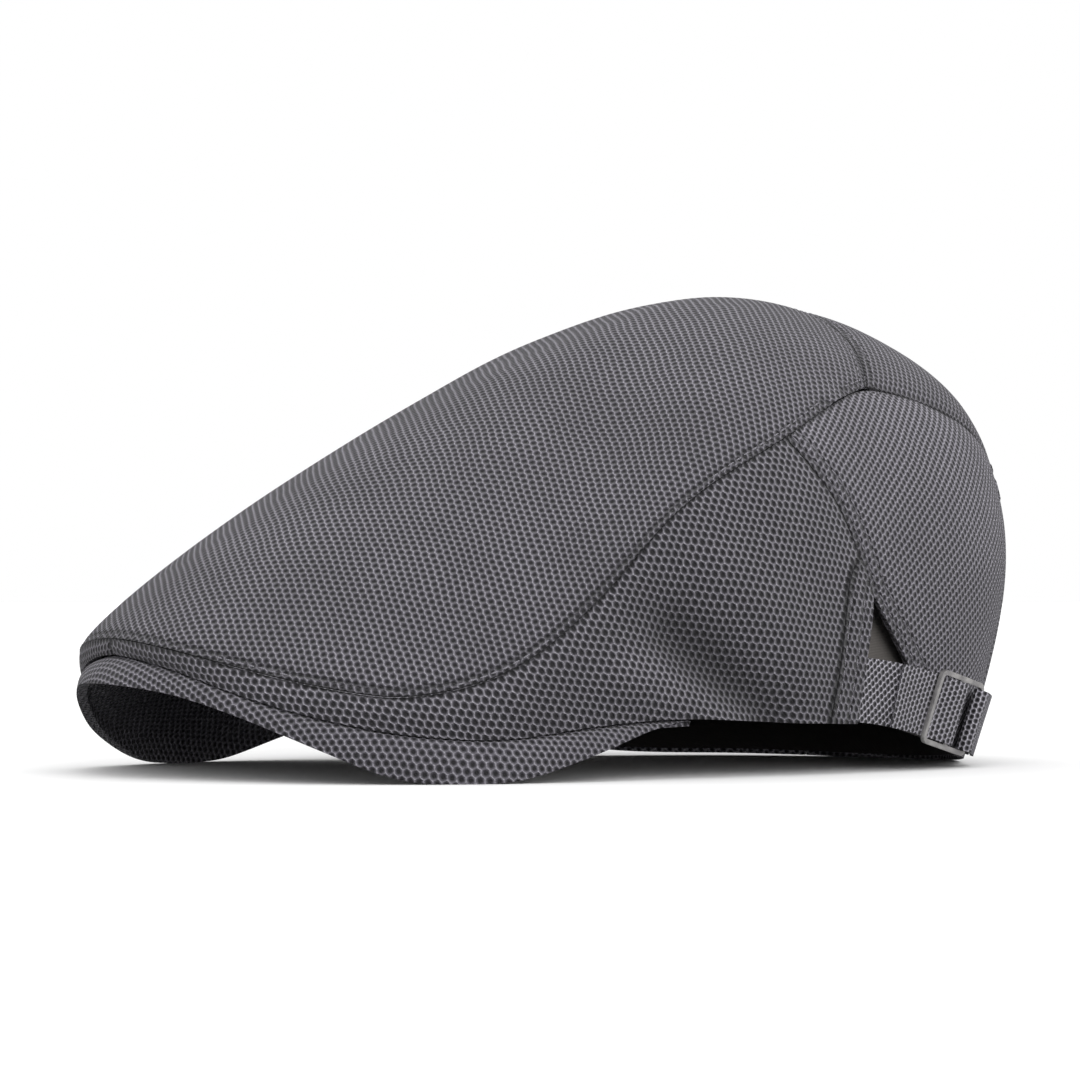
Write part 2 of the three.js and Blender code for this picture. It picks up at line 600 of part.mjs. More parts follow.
/** Origin and axes on the crown at a distance along the strap's line. */
function strapFrame(distance) {
  const share = THREE.MathUtils.clamp(distance / strapRun, 0, 1);
  const turn = THREE.MathUtils.lerp(strapStart, strapEnd, strapCurve.getUtoTmapping(share));
  const along = strapCurve.getTangentAt(share);
  const normal = crownNormal(turn, strapMiddle(turn).rise);
  normal.addScaledVector(along, -normal.dot(along)).normalize();
  return { origin: strapCurve.getPointAt(share), along, normal, across: normal.clone().cross(along) };
}

// Heights of layers and bars over the crown, at the middle of their thickness
const lowLayer = STRAP_CLEARANCE + STRAP_THICKNESS / 2;
const highLayer = lowLayer + STRAP_THICKNESS + LAYER_GAP;
const wrapRadius = Math.hypot(BUCKLE_BAR, BUCKLE_THICKNESS) / 2 + LAYER_GAP + STRAP_THICKNESS / 2;
const buckleLevel = lowLayer + wrapRadius + BUCKLE_RAISE;
const buckleFrame = strapFrame(buckleMiddle);

/** Distance and height over the crown of a bar's middle, for a bar at a distance along the flat buckle. */
function barPlace(distance) {
  const { origin, along, normal } = buckleFrame;
  const point = origin.clone().addScaledVector(along, distance - buckleMiddle);
  point.addScaledVector(normal, buckleLevel);
  const place = pair(distance, buckleLevel);
  for (let step = 0; step < BAR_STEPS; step += 1) {
    const here = strapFrame(place.x);
    const offset = point.clone().sub(here.origin);
    place.set(place.x + offset.dot(here.along), offset.dot(here.normal));
  }
  return place;
}

/** Half circle of path points round a bar, from above it to below it. */
function wrap(bar, towards) {
  return Array.from({ length: WRAP_STEPS + 1 }, (_, index) => {
    const angle = Math.PI * (0.5 - index / WRAP_STEPS);
    return pair(towards * Math.cos(angle), Math.sin(angle)).multiplyScalar(wrapRadius).add(bar);
  });
}

/** Path points at even steps along a smooth line through a few chosen ones. */
function smoothPath(points, steps) {
  return new THREE.SplineCurve(points).getSpacedPoints(steps);
}

/** How far the hem leans along the strap for each millimetre across it. */
function hemLean() {
  const frame = strapFrame(0);
  const low = crown(hemEdge(0), 0);
  const high = crown(hemEdge(2 * STRAP_SEAM_RISE), 2 * STRAP_SEAM_RISE);
  const edge = high.sub(low);
  return edge.dot(frame.along) / edge.dot(frame.across);
}

/** Strip of cloth along a path of distances and heights over the crown. */
function strapSolid(path, width, lean) {
  const sides = path.map((_, index) => {
    const next = path[Math.min(path.length - 1, index + 1)];
    const run = next.clone().sub(path[Math.max(0, index - 1)]).normalize();
    return pair(-run.y, run.x).multiplyScalar(STRAP_THICKNESS / 2);
  });
  const place = (point, offset) => {
    const fade = Math.max(0, 1 - point.x / SLIT_WIDTH);
    const frame = strapFrame(point.x + lean * offset * fade);
    return frame.origin.addScaledVector(frame.across, offset).addScaledVector(frame.normal, point.y);
  };
  const layer = (sign) => path.map((point, index) => {
    const shifted = point.clone().addScaledVector(sides[index], sign);
    return [width / 2, -width / 2].map((offset) => place(shifted, offset));
  });
  return sheetSolid(layer(1), layer(-1));
}

const frontBar = buckleMiddle - (BUCKLE_LENGTH - BUCKLE_BAR) / 2;
const rearBar = buckleMiddle + (BUCKLE_LENGTH - BUCKLE_BAR) / 2;
const pastBar = frontBar + BAR_REACH * BUCKLE_BAR;

/** Strap from the hem over the slit, under the front bar, over the middle bar and back beneath. */
function strapPath() {
  const bar = barPlace(buckleMiddle);
  const tailEnd = frontBar - TAIL_LENGTH;
  const climb = smoothPath([
    pair(LAYER_GAP, -CLOTH / 2),
    pair(SLIT_WIDTH * STRAP_TUCK, -CLOTH / 4),
    pair(SLIT_WIDTH * STRAP_LANDING, lowLayer),
    pair(tailEnd - TAIL_EASE, highLayer),
    pair(tailEnd + TAIL_EASE, highLayer),
    pair(frontBar, highLayer),
    pair(pastBar, highLayer + STRAP_CLIMB),
    pair(bar.x - wrapRadius, bar.y + wrapRadius - LAYER_GAP / 2),
  ], CLIMB_STEPS);
  const turned = wrap(bar, 1);
  const back = [pastBar, frontBar, tailEnd].map((distance) => pair(distance, lowLayer));
  return [...climb, ...turned, ...back];
}

/** Tab from the strip seam round the buckle's rear bar and back to the seam. */
function tabPath() {
  const bar = barPlace(rearBar);
  const end = strapRun - LAYER_GAP;
  const lower = smoothPath([
    pair(end, lowLayer),
    pair((bar.x + end) / 2, lowLayer),
    pair(bar.x, bar.y - wrapRadius),
  ], TAB_STEPS);
  const turned = wrap(bar, -1).reverse();
  const upper = [pair((bar.x + end) / 2, (bar.y + wrapRadius + highLayer) / 2), pair(end, highLayer)];
  return [...lower.slice(0, -1), ...turned, ...upper];
}

/** Rectangle with round corners, as an outline or as a hole. */
function roundedRectangle(path, centre, length, height, radius) {
  const [x, y] = [length / 2 - radius, height / 2 - radius];
  path.absarc(centre + x, y, radius, 0, Math.PI / 2);
  path.absarc(centre - x, y, radius, Math.PI / 2, Math.PI);
  path.absarc(centre - x, -y, radius, Math.PI, 1.5 * Math.PI);
  path.absarc(centre + x, -y, radius, 1.5 * Math.PI, 2 * Math.PI);
  path.closePath();
  return path;
}

function buckleSolid() {
  const inside = STRAP_WIDTH + 2 * BUCKLE_PLAY;
  const outside = inside + 2 * BUCKLE_BAR;
  const opening = (BUCKLE_LENGTH - 3 * BUCKLE_BAR) / 2;
  const outline = roundedRectangle(new THREE.Shape(), 0, BUCKLE_LENGTH, outside, BUCKLE_CORNER);
  outline.holes = [-1, 1].map((side) => {
    const centre = (side * (opening + BUCKLE_BAR)) / 2;
    return roundedRectangle(new THREE.Path(), centre, opening, inside, BUCKLE_CORNER - BUCKLE_BAR);
  });
  const depth = BUCKLE_THICKNESS;
  const extrusion = { depth, bevelEnabled: false, curveSegments: CORNER_STEPS };
  return new THREE.ExtrudeGeometry(outline, extrusion).translate(0, 0, buckleLevel - depth / 2);
}

/** Mesh with a finish of its own. */
function piece(name, geometry, colour, roughness, metalness = 0) {
  const material = new THREE.MeshStandardMaterial({ color: colour, roughness, metalness });
  const mesh = new THREE.Mesh(geometry, material);
  mesh.name = name;
  return mesh;
}

function buckle() {
  const mesh = piece("slide_buckle", buckleSolid(), 0xa09c94, 0.4, 0.9);
  const { origin, along, across, normal } = buckleFrame;
  mesh.applyMatrix4(new THREE.Matrix4().makeBasis(along, across, normal).setPosition(origin));
  return mesh;
}

const MESH_CLOTH = 0x5f5d64;
const DARK_CLOTH = 0x2b2a29;

const clothPiece = (name, geometry) => piece(name, geometry, MESH_CLOTH, 0.85);
const sidePlaces = sidePanelPlaces();
const cap = new THREE.Group();
cap.add(
  clothPiece("top_panel", clothPanel(topPanelPlaces(), ({ x, y }) => topPlace(x, y))),
  clothPiece("side_panel_left", clothPanel(sidePlaces, wallPlace)),
  clothPiece("side_panel_right", clothPanel(mirrorPlaces(sidePlaces), wallPlace)),
  clothPiece("quarter_panel_left", clothPanel(quarterPanelPlaces(slitEdge), wallPlace)),
  clothPiece("quarter_panel_right", clothPanel(mirrorPlaces(quarterPanelPlaces(seamEdge)), wallPlace)),
  clothPiece("back_panel", clothPanel(backPanelPlaces(), wallPlace)),
  clothPiece("peak", peakSolid()),
  piece("sweatband", sweatbandSolid(), DARK_CLOTH, 0.9),
  clothPiece("adjuster_strap", strapSolid(strapPath(), STRAP_WIDTH, hemLean())),
  clothPiece("buckle_tab", strapSolid(tabPath(), STRAP_WIDTH, 0)),
  buckle(),
);

// The origin is the middle of the outline in plan, on the table
const box = new THREE.Box3().setFromObject(cap);
const middle = box.getCenter(new THREE.Vector3());
cap.position.set(-middle.x, -middle.y, -box.min.z);

export default cap;
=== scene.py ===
"""Looks of a flat cap in open mesh cloth, with a stiff peak and a strap with a slide buckle.

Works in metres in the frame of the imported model: +Z up, the peak towards -Y, the strap at +X.
"""

import logging
import math
from dataclasses import dataclass, field
from enum import Enum
from typing import Any, Callable, Sequence

import bmesh
import bpy
import numpy as np
from bpy.types import Material, Node, Object
from bpy.types import NodeSocket as Socket
from bpy.types import NodeTree as Tree
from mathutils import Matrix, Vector
from mathutils.bvhtree import BVHTree
from mathutils.kdtree import KDTree


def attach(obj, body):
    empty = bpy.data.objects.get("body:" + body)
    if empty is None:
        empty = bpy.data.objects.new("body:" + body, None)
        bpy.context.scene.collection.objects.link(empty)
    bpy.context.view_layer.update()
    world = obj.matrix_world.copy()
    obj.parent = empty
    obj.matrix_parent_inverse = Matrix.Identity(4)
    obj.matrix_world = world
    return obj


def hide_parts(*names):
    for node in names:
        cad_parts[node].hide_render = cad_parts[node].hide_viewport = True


MM = 0.001
CLOTH_UV = "cloth"  # UV map in metres along the cloth's threads
FAR = 16.0  # millimetres, where the maps of distances end
SEAM_REACH = 1.0 * MM  # widest gap that counts as a seam
SLIT_SIDES = ("side_panel_left", "quarter_panel_left")
HEM_WIDTH = 11.0  # millimetres
HEM_LIFT = 0.8 * MM
LONGEST_PIT = 1.9  # limit of a pit's measure across the rows, which keeps wide rows open
HOLLOW_SHADE = 0.45  # share of brightness that painted shade takes from the deepest hollow of a fold
HOLLOW_DEPTH = 3.5 * MM  # depth at which a hollow's cloth gets the darkest painted shade
SHARP_EDGE = math.radians(50)
CORNER_TURN = math.radians(24)
WELD = 0.002 * MM  # distance within which loose corners are joined
QUAD_BEND = math.radians(35)  # most that two triangles joined to a quad are bent
QUAD_SKEW = math.radians(70)  # most that its corners are off square
CROWN_MIDDLE = np.array([0.0, 0.02, 0.02])
CROWN_REACH = np.array([0.09, 0.14, 0.11])
OUTER_POINT = -0.2  # least cosine from the outward way to the normal of a point on the outer side
OUTER_EDGE = 0.45  # the same for the better of the two faces at an outer edge
OUTER_STITCH = 0.2  # the same for the cloth under a stitch
STEEP = 0.5  # least climb of the slit's edges for each length
SEAM_DIPS = ((2.4, 1.0), (7.0, 0.6))  # millimetres that a seam's dip spreads and its share of the depth
HEM_FALL = 0.5  # millimetres from the middle of the hem's step to its foot
BROAD_WAVE, FINE_WAVE = 0.16, 0.05  # heights of the cloth's unevenness, in millimetres
THIN_CORNER = 1e-18  # below it a face's corner is too thin to show the way of the grain
LEAST_GRAIN = 0.2  # share of the grain that must lie in a face to count
WAVE_PERIOD = 0.314  # metres from band to band of a wave texture at scale one
LOG = logging.getLogger("flat_cap")

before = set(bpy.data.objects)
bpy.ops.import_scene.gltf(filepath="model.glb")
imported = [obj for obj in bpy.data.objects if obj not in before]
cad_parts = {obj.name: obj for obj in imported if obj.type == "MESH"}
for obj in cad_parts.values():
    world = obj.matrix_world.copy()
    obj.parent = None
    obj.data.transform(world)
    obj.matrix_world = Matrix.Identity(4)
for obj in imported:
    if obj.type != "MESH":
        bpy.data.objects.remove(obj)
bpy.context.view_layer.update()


class Map(Enum):
    """Attributes of the cloth. The first three hold distances from its edges, in millimetres."""

    SEAM = "from_seam"
    STITCHING = "from_stitched_edge"
    HEM = "from_hem"
    HOLLOW = "hollow"  # 0 to 1 instead: how deep a point lies in a fold's hollow, read for painted shade
    OUTSIDE = "outside"  # 0 or 1 instead; by it the sweatband's inner side gets painted shade


class Slot(Enum):
    """Material slots of the record."""

    MESH = "mesh_cloth"
    DARK = "dark_cloth"
    METAL = "buckle_metal"


def linear(code: str) -> tuple[float, float, float, float]:
    """Turns an sRGB hex colour into a linear colour with alpha.

    Args:
        code: Six hex digits after a hash.

    Returns:
        Red, green, blue and alpha.
    """
    shares = [int(code[place : place + 2], 16) / 255 for place in (1, 3, 5)]
    red, green, blue = (s / 12.92 if s <= 0.04045 else ((s + 0.055) / 1.055) ** 2.4 for s in shares)
    return (red, green, blue, 1.0)


def add_node(
    tree: Tree, kind: str, settings: dict[str, Any] | None = None, inputs: dict[str | int, Any] | None = None
) -> Node:
    """Adds a node with its settings and links.

    Args:
        tree: Node tree that gets the node.
        kind: Node type without its ShaderNode prefix.
        settings: Values of the node's own properties.
        inputs: A socket to link or a value to set, for each input by name or number.

    Returns:
        The new node.
    """
    node = tree.nodes.new(f"ShaderNode{kind}")
    for name, value in (settings or {}).items():
        setattr(node, name, value)
    for key, value in (inputs or {}).items():
        if isinstance(value, Socket):
            tree.links.new(value, node.inputs[key])
        else:
            node.inputs[key].default_value = value
    return node


def new_material(name: str) -> tuple[Material, Tree, Node]:
    """Makes an empty node material.

    Args:
        name: The material's name.

    Returns:
        The material, its node tree and its surface shader.
    """
    material = bpy.data.materials.new(name)
    material.use_nodes = True
    tree = material.node_tree
    tree.nodes.clear()
    shader = add_node(tree, "BsdfPrincipled")
    add_node(tree, "OutputMaterial", inputs={"Surface": shader.outputs["BSDF"]})
    return material, tree, shader


def reckon(tree: Tree, operation: str, *values: Any) -> Socket:
    """Adds one sum of numbers or sockets and gives its socket."""
    return add_node(tree, "Math", {"operation": operation}, dict(enumerate(values))).outputs[0]


def vector(tree: Tree, operation: str, *values: Any) -> Socket:
    """Adds one sum of vectors or vector sockets and gives its socket."""
    return add_node(tree, "VectorMath", {"operation": operation}, dict(enumerate(values))).outputs[0]


def dimmed(tree: Tree, colour: Socket, share: Socket) -> Socket:
    """Multiplies a colour by a share of light and gives its socket."""
    node = add_node(tree, "VectorMath", {"operation": "SCALE"}, {0: colour, "Scale": share})
    return node.outputs[0]


def rise(tree: Tree, value: Socket, span: tuple[float, float], low: float = 0.0) -> Socket:
    """Rises softly from a low value to one while another value crosses a span.

    Args:
        tree: Node tree that gets the nodes.
        value: Socket that is read.
        span: Values at the rise's start and end.
        low: Value before the rise.

    Returns:
        The socket with the result.
    """
    limits = {"From Min": span[0], "From Max": span[1], "To Min": low, "To Max": 1.0}
    node = add_node(tree, "MapRange", {"interpolation_type": "SMOOTHSTEP"}, {"Value": value, **limits})
    return node.outputs[0]


def shades(tree: Tree, factor: Socket, *stops: tuple[float, str]) -> Socket:
    """Blends colours by a factor.

    Args:
        tree: Node tree that gets the nodes.
        factor: Socket that is read.
        stops: Factor and hex colour of each stop, two at least, in rising order.

    Returns:
        The socket with the colour.
    """
    node = add_node(tree, "ValToRGB", inputs={"Fac": factor})
    elements = node.color_ramp.elements
    first, *middle, last = stops
    for element, (place, code) in zip(elements, (first, last)):
        element.position = place
        element.color = linear(code)
    for place, code in middle:
        elements.new(place).color = linear(code)
    return node.outputs["Color"]


def flat_noise(tree: Tree, place: Socket, size: float, detail: float = 2.0) -> Node:
    """Adds flat noise whose lumps are about a size in metres."""
    settings = {"noise_dimensions": "2D"}
    return add_node(tree, "TexNoise", settings, {"Vector": place, "Scale": 1 / size, "Detail": detail})


def cloth_place(tree: Tree) -> Socket:
    """Gives the socket with the place on the cloth map, in metres."""
    return add_node(tree, "UVMap", {"uv_map": CLOTH_UV}).outputs["UV"]


def stored(tree: Tree, kind: Map) -> Socket:
    """Gives the socket with one of the cloth's stored maps."""
    return add_node(tree, "Attribute", {"attribute_name": kind.value}).outputs["Fac"]


@dataclass(frozen=True)
class Bump:
    """Fine relief of a shader."""

    strength: float
    depth: float  # metres
    height: Socket


def dress_shader(tree: Tree, shader: Node, colour: Socket, bump: Bump | None = None) -> None:
    """Links a colour and a bump to a shader.

    Args:
        tree: The shader's node tree.
        shader: The surface shader.
        colour: Socket with the base colour.
        bump: The fine relief, if there is one.
    """
    tree.links.new(colour, shader.inputs["Base Color"])
    if bump:
        inputs = {"Strength": bump.strength, "Distance": bump.depth, "Height": bump.height}
        tree.links.new(add_node(tree, "Bump", inputs=inputs).outputs["Normal"], shader.inputs["Normal"])


@dataclass(frozen=True)
class MeshCloth:
    """Warp-knitted polyester mesh, matte: bright ribs with staggered pits, painted shade in the pits and a
    painted highlight on the knots.
    """

    name: str = "mesh_cloth"
    # Colours of the weave: the knots' own tone lifted by a painted highlight, the threads' own tone, and
    # painted shade on the pits' walls and in the pits.
    knot: str = "#a19ea7"
    thread: str = "#68656d"
    shade: str = "#413f45"
    pit: str = "#141316"
    pitch: float = 2.14 * MM  # pit to pit along a rib
    row: float = 1.88 * MM  # rib to rib
    skew: float = 0.0  # how far the pits slip along the ribs for each length across them
    rib: float = 0.2  # how much the ribs stand out from the other threads
    pit_floor: float = 0.12  # share of the pitch where a pit's floor ends
    pit_brim: float = 0.57  # share of the pitch where the threads are at their highest
    relief: float = 0.9 * MM
    stitch_rows: tuple[float, ...] = ()  # millimetres from a topstitched edge
    pit_squeeze: float = 0.9  # measure along the ribs, where less than one draws the pits out
    drift: float = 1.6 * MM  # how far the threads wander
    drift_size: float = 24 * MM  # of the patches that wander alike
    fibre_size: float = 0.5 * MM
    fibre_dark: float = 0.35  # brightness where the fibres are darkest
    fibre_light: float = 1.1  # how much brighter they get
    lump_size: float = 1.6 * MM  # of the wavy lines along seams and stitches
    patch_size: float = 33 * MM  # of the patches that are a little lighter or darker
    rib_span: tuple[float, float] = (0.25, 0.95)  # shares of the way from a row of pits to the next rib
    rib_height: float = 0.7  # how far the ribs stand up for each share that they stand out
    seam_wander: float = 0.9  # millimetres by which a seam's line of painted shade wavers
    seam_span: tuple[float, float] = (0.1, 1.25)  # millimetres from a seam, from its painted shade to full light
    seam_light: float = 0.2  # share of light that painted shade leaves in a seam, and below in a groove and beside the hem
    groove_wander: float = 1.6  # millimetres by which a row of stitches' groove wavers
    groove_span: tuple[float, float] = (0.1, 1.2)  # millimetres from a row of stitches, from the painted shade in its groove to full light
    groove_light: float = 0.45
    groove_depth: float = 1.4  # as a share of the relief, like the next ones
    hem_depth: float = 1.8
    seam_depth: float = 0.3
    fibre_depth: float = 0.2
    hem_edge: tuple[float, float] = (0.45, -0.1)  # millimetres past the hem's inner line, foot to top
    hem_shadow: float = 0.6  # millimetres from that line to the middle of its painted shadow
    hem_span: tuple[float, float] = (0.4, 1.7)  # millimetres from that middle, painted shadow to full light
    hem_light: float = 0.16
    patch_span: tuple[float, float] = (0.3, 0.7)  # values that the noise of the patches mostly has
    patch_tones: tuple[float, float] = (0.9, 1.08)

    def lattice(self, tree: Tree, place: Socket, shift: float) -> Socket:
        """Distance to the nearest pit of one square set of pits, as a share of the pitch.

        Args:
            tree: Node tree that gets the nodes.
            place: Place on the cloth, counted in pitches and pairs of rows.
            shift: How far this set is shifted, in pitches and pairs of rows.

        Returns:
            The socket with the distance.
        """
        moved = vector(tree, "ADD", place, (shift, shift, 0))
        centred = vector(tree, "SUBTRACT", vector(tree, "FRACTION", moved), (0.5, 0.5, 0))
        true = (self.pit_squeeze, min(2 * self.row / self.pitch, LONGEST_PIT), 0)
        scaled = vector(tree, "MULTIPLY", centred, true)
        return add_node(tree, "VectorMath", {"operation": "LENGTH"}, {0: scaled}).outputs["Value"]

    def weave(self, tree: Tree, uv: Socket) -> tuple[Socket, Socket]:
        """Works out the weave.

        Args:
            tree: Node tree that gets the nodes.
            uv: Place on the cloth in metres.

        Returns:
            Sockets with how far the threads stand up and with how bright they are, with painted shade in the
            pits and a painted highlight on the knots.
        """
        drift = flat_noise(tree, uv, self.drift_size).outputs["Color"]
        pull = vector(tree, "SUBTRACT", drift, (0.5, 0.5, 0.5))
        bent = vector(tree, "MULTIPLY_ADD", pull, (self.drift, self.drift, 0), uv)
        split = add_node(tree, "SeparateXYZ", inputs={0: bent})
        along, over = split.outputs["X"], split.outputs["Y"]
        columns = reckon(tree, "DIVIDE", reckon(tree, "MULTIPLY_ADD", over, self.skew, along), self.pitch)
        rows = reckon(tree, "DIVIDE", over, 2 * self.row)
        place = add_node(tree, "CombineXYZ", inputs={"X": columns, "Y": rows}).outputs[0]
        nearest = reckon(tree, "MINIMUM", self.lattice(tree, place, 0.0), self.lattice(tree, place, 0.5))
        threads = rise(tree, nearest, (self.pit_floor, self.pit_brim))
        wave = reckon(tree, "PINGPONG", reckon(tree, "MULTIPLY", rows, 4.0), 1.0)
        rib = rise(tree, wave, self.rib_span)
        fibre = flat_noise(tree, uv, self.fibre_size).outputs["Fac"]
        height = reckon(tree, "MULTIPLY_ADD", rib, self.rib_height * self.rib, threads)
        ribbed = reckon(tree, "MULTIPLY_ADD", rib, self.rib, 1 - self.rib)
        spun = reckon(tree, "MULTIPLY_ADD", fibre, self.fibre_light, self.fibre_dark)
        # The weave's brightness: the threads' own tone, painted shade towards the pits and a painted
        # highlight on the knots.
        weave_tone_and_painted_light = reckon(tree, "MULTIPLY", reckon(tree, "MULTIPLY", ribbed, threads), spun)
        return reckon(tree, "MULTIPLY_ADD", fibre, self.fibre_depth, height), weave_tone_and_painted_light

    def edges(self, tree: Tree, uv: Socket) -> tuple[Socket, Socket]:
        """Works out the sewn edges: seams and grooves of topstitching with painted shade in them, and the
        doubled cloth of a hem with a painted shadow at its step; also the painted shade in the folds'
        hollows.

        Args:
            tree: Node tree that gets the nodes.
            uv: Place on the cloth in metres.

        Returns:
            Sockets with the height that they add and with how much light their painted shade leaves.
        """
        lumps = flat_noise(tree, uv, self.lump_size).outputs["Fac"]
        # Painted shade along each seam, wavering with the lumps.
        middle = reckon(tree, "SUBTRACT", stored(tree, Map.SEAM), self.seam_wander / 2)
        wavy = reckon(tree, "MULTIPLY_ADD", lumps, self.seam_wander, middle)
        light = rise(tree, wavy, self.seam_span, self.seam_light)
        # Painted shade in the folds' hollows.
        hollow_painted_shade = reckon(tree, "MULTIPLY_ADD", stored(tree, Map.HOLLOW), -HOLLOW_SHADE, 1.0)
        light = reckon(tree, "MULTIPLY", light, hollow_painted_shade)
        height = reckon(tree, "MULTIPLY", light, self.seam_depth)
        for row in self.stitch_rows:
            # Painted shade in the groove of each row of stitches, which also sinks the bump.
            aside = reckon(tree, "ABSOLUTE", reckon(tree, "SUBTRACT", stored(tree, Map.STITCHING), row))
            middle = reckon(tree, "SUBTRACT", aside, self.groove_wander / 2)
            wavy = reckon(tree, "MULTIPLY_ADD", lumps, self.groove_wander, middle)
            groove = rise(tree, wavy, self.groove_span, self.groove_light)
            light = reckon(tree, "MULTIPLY", light, groove)
            height = reckon(tree, "MULTIPLY_ADD", groove, self.groove_depth, height)
        past = reckon(tree, "SUBTRACT", stored(tree, Map.HEM), HEM_WIDTH)
        height = reckon(tree, "MULTIPLY_ADD", rise(tree, past, self.hem_edge), self.hem_depth, height)
        # Painted shadow at the foot of the hem's step.
        beside = reckon(tree, "ABSOLUTE", reckon(tree, "SUBTRACT", past, self.hem_shadow))
        shadow = rise(tree, beside, self.hem_span, self.hem_light)
        return height, reckon(tree, "MULTIPLY", light, shadow)

    def make(self) -> Material:
        """Builds the material, which reads the piece's cloth map and its distances from edges."""
        material, tree, shader = new_material(self.name)
        uv = cloth_place(tree)
        height, weave_tone_and_painted_light = self.weave(tree, uv)
        sewn, light = self.edges(tree, uv)
        # From the pits' painted shade through the threads' own tone to the knots' painted highlight.
        stops = ((0.0, self.pit), (0.15, self.shade), (0.5, self.thread), (1.0, self.knot))
        colour = shades(tree, weave_tone_and_painted_light, *stops)
        patches = flat_noise(tree, uv, self.patch_size, 3.0).outputs["Fac"]
        limits = dict(zip(("From Min", "From Max", "To Min", "To Max"), self.patch_span + self.patch_tones))
        tone = add_node(tree, "MapRange", inputs={"Value": patches, **limits}).outputs[0]
        # The patches' own tone, times the light left by the painted shade of seams, grooves, hem and hollows.
        lit = dimmed(tree, colour, reckon(tree, "MULTIPLY", tone, light))
        bump = Bump(strength=1.0, depth=self.relief, height=reckon(tree, "ADD", height, sewn))
        dress_shader(tree, shader, lit, bump)
        shader.inputs["Roughness"].default_value = 0.75
        shader.inputs["Sheen Weight"].default_value = 0.1
        shader.inputs["Sheen Roughness"].default_value = 0.45
        shader.inputs["Specular IOR Level"].default_value = 0.3
        return material


@dataclass(frozen=True)
class BandCloth:
    """Close twill of the sweatband: dull cotton in taupe, with painted shade darkening its inner side, and
    fine slanting ribs.
    """

    name: str = "dark_cloth"
    outside: str = "#625e5b"
    # The inner side's colour: the taupe darkened by painted shade.
    inside: str = "#24211f"
    rib: float = 0.7 * MM
    slant: float = math.radians(55)
    grain_scale: float = 900.0
    tones: tuple[float, float] = (0.85, 1.1)

    def make(self) -> Material:
        """Builds the material, which reads the piece's cloth map and which side a point is on."""
        material, tree, shader = new_material(self.name)
        uv = cloth_place(tree)
        turned = add_node(tree, "Mapping", inputs={"Vector": uv, "Rotation": (0, 0, self.slant)})
        scale = WAVE_PERIOD / self.rib
        twill = {"Vector": turned.outputs[0], "Scale": scale, "Distortion": 0.6, "Detail": 1}
        ribs = add_node(tree, "TexWave", {"wave_type": "BANDS"}, twill).outputs["Fac"]
        mixed = reckon(tree, "MULTIPLY", ribs, flat_noise(tree, uv, 1 / self.grain_scale).outputs["Fac"])
        # Painted shade: the inner side gets the darker colour.
        colour = shades(tree, stored(tree, Map.OUTSIDE), (0.0, self.inside), (1.0, self.outside))
        limits = dict(zip(("To Min", "To Max"), self.tones))
        tone = add_node(tree, "MapRange", inputs={"Value": mixed, **limits}).outputs[0]
        bump = Bump(strength=0.4, depth=0.15 * MM, height=mixed)
        dress_shader(tree, shader, dimmed(tree, colour, tone), bump)
        shader.inputs["Roughness"].default_value = 0.9
        shader.inputs["Sheen Weight"].default_value = 0.08
        return material


@dataclass(frozen=True)
class CastZinc:
    """Cast and tumbled zinc with a dull nickel plate: warm light grey, rubbed brighter here and there."""

    name: str = "buckle_metal"
    colour: str = "#7d7b7c"
    worn: str = "#a5a3a2"
    roughness: tuple[float, float] = (0.42, 0.6)

    def make(self) -> Material:
        """Builds the material on Object coordinates."""
        material, tree, shader = new_material(self.name)
        place = add_node(tree, "TexCoord").outputs["Object"]
        cloud = add_node(tree, "TexNoise", inputs={"Vector": place, "Scale": 220, "Detail": 3})
        grit = add_node(tree, "TexNoise", inputs={"Vector": place, "Scale": 2600, "Detail": 2})
        colour = shades(tree, cloud.outputs["Fac"], (0.35, self.colour), (0.7, self.worn))
        limits = dict(zip(("To Min", "To Max"), self.roughness))
        rough = add_node(tree, "MapRange", inputs={"Value": cloud.outputs["Fac"], **limits})
        tree.links.new(rough.outputs[0], shader.inputs["Roughness"])
        bump = Bump(strength=0.25, depth=0.05 * MM, height=grit.outputs["Fac"])
        dress_shader(tree, shader, colour, bump)
        shader.inputs["Metallic"].default_value = 0.85
        return material


@dataclass(frozen=True)
class Thread:
    """Spun polyester sewing thread, a touch lighter than the mesh, with its twist as fine slanting lines."""

    name: str = "sewing_thread"
    high: str = "#8b8890"
    low: str = "#57555b"

    def make(self) -> Material:
        """Builds the material on Object coordinates."""
        material, tree, shader = new_material(self.name)
        place = add_node(tree, "TexCoord").outputs["Object"]
        turns = {"Vector": place, "Scale": 900, "Distortion": 1.5}
        twist = add_node(tree, "TexWave", {"bands_direction": "DIAGONAL"}, turns)
        dress_shader(tree, shader, shades(tree, twist.outputs["Fac"], (0.0, self.low), (1.0, self.high)))
        shader.inputs["Roughness"].default_value = 0.6
        return material


def add_object(name: str, data: bpy.types.ID) -> Object:
    """Makes an object of some data and adds it to the scene."""
    obj = bpy.data.objects.new(name, data)
    bpy.context.scene.collection.objects.link(obj)
    return obj


def log_piece(piece: Object) -> None:
    """Reports a finished piece."""
    LOG.info("%s: %d faces", piece.name, len(piece.data.polygons))


def select_only(obj: Object) -> None:
    """Deselects everything, then selects one object and makes it active."""
    bpy.ops.object.select_all(action="DESELECT")
    obj.select_set(True)
    bpy.context.view_layer.objects.active = obj


def apply_modifier(obj: Object, kind: str, **settings: Any) -> None:
    """Adds a modifier with its settings and applies it."""
    select_only(obj)
    modifier = obj.modifiers.new(kind.title(), kind)
    for name, value in settings.items():
        setattr(modifier, name, value)
    bpy.ops.object.modifier_apply(modifier=modifier.name)


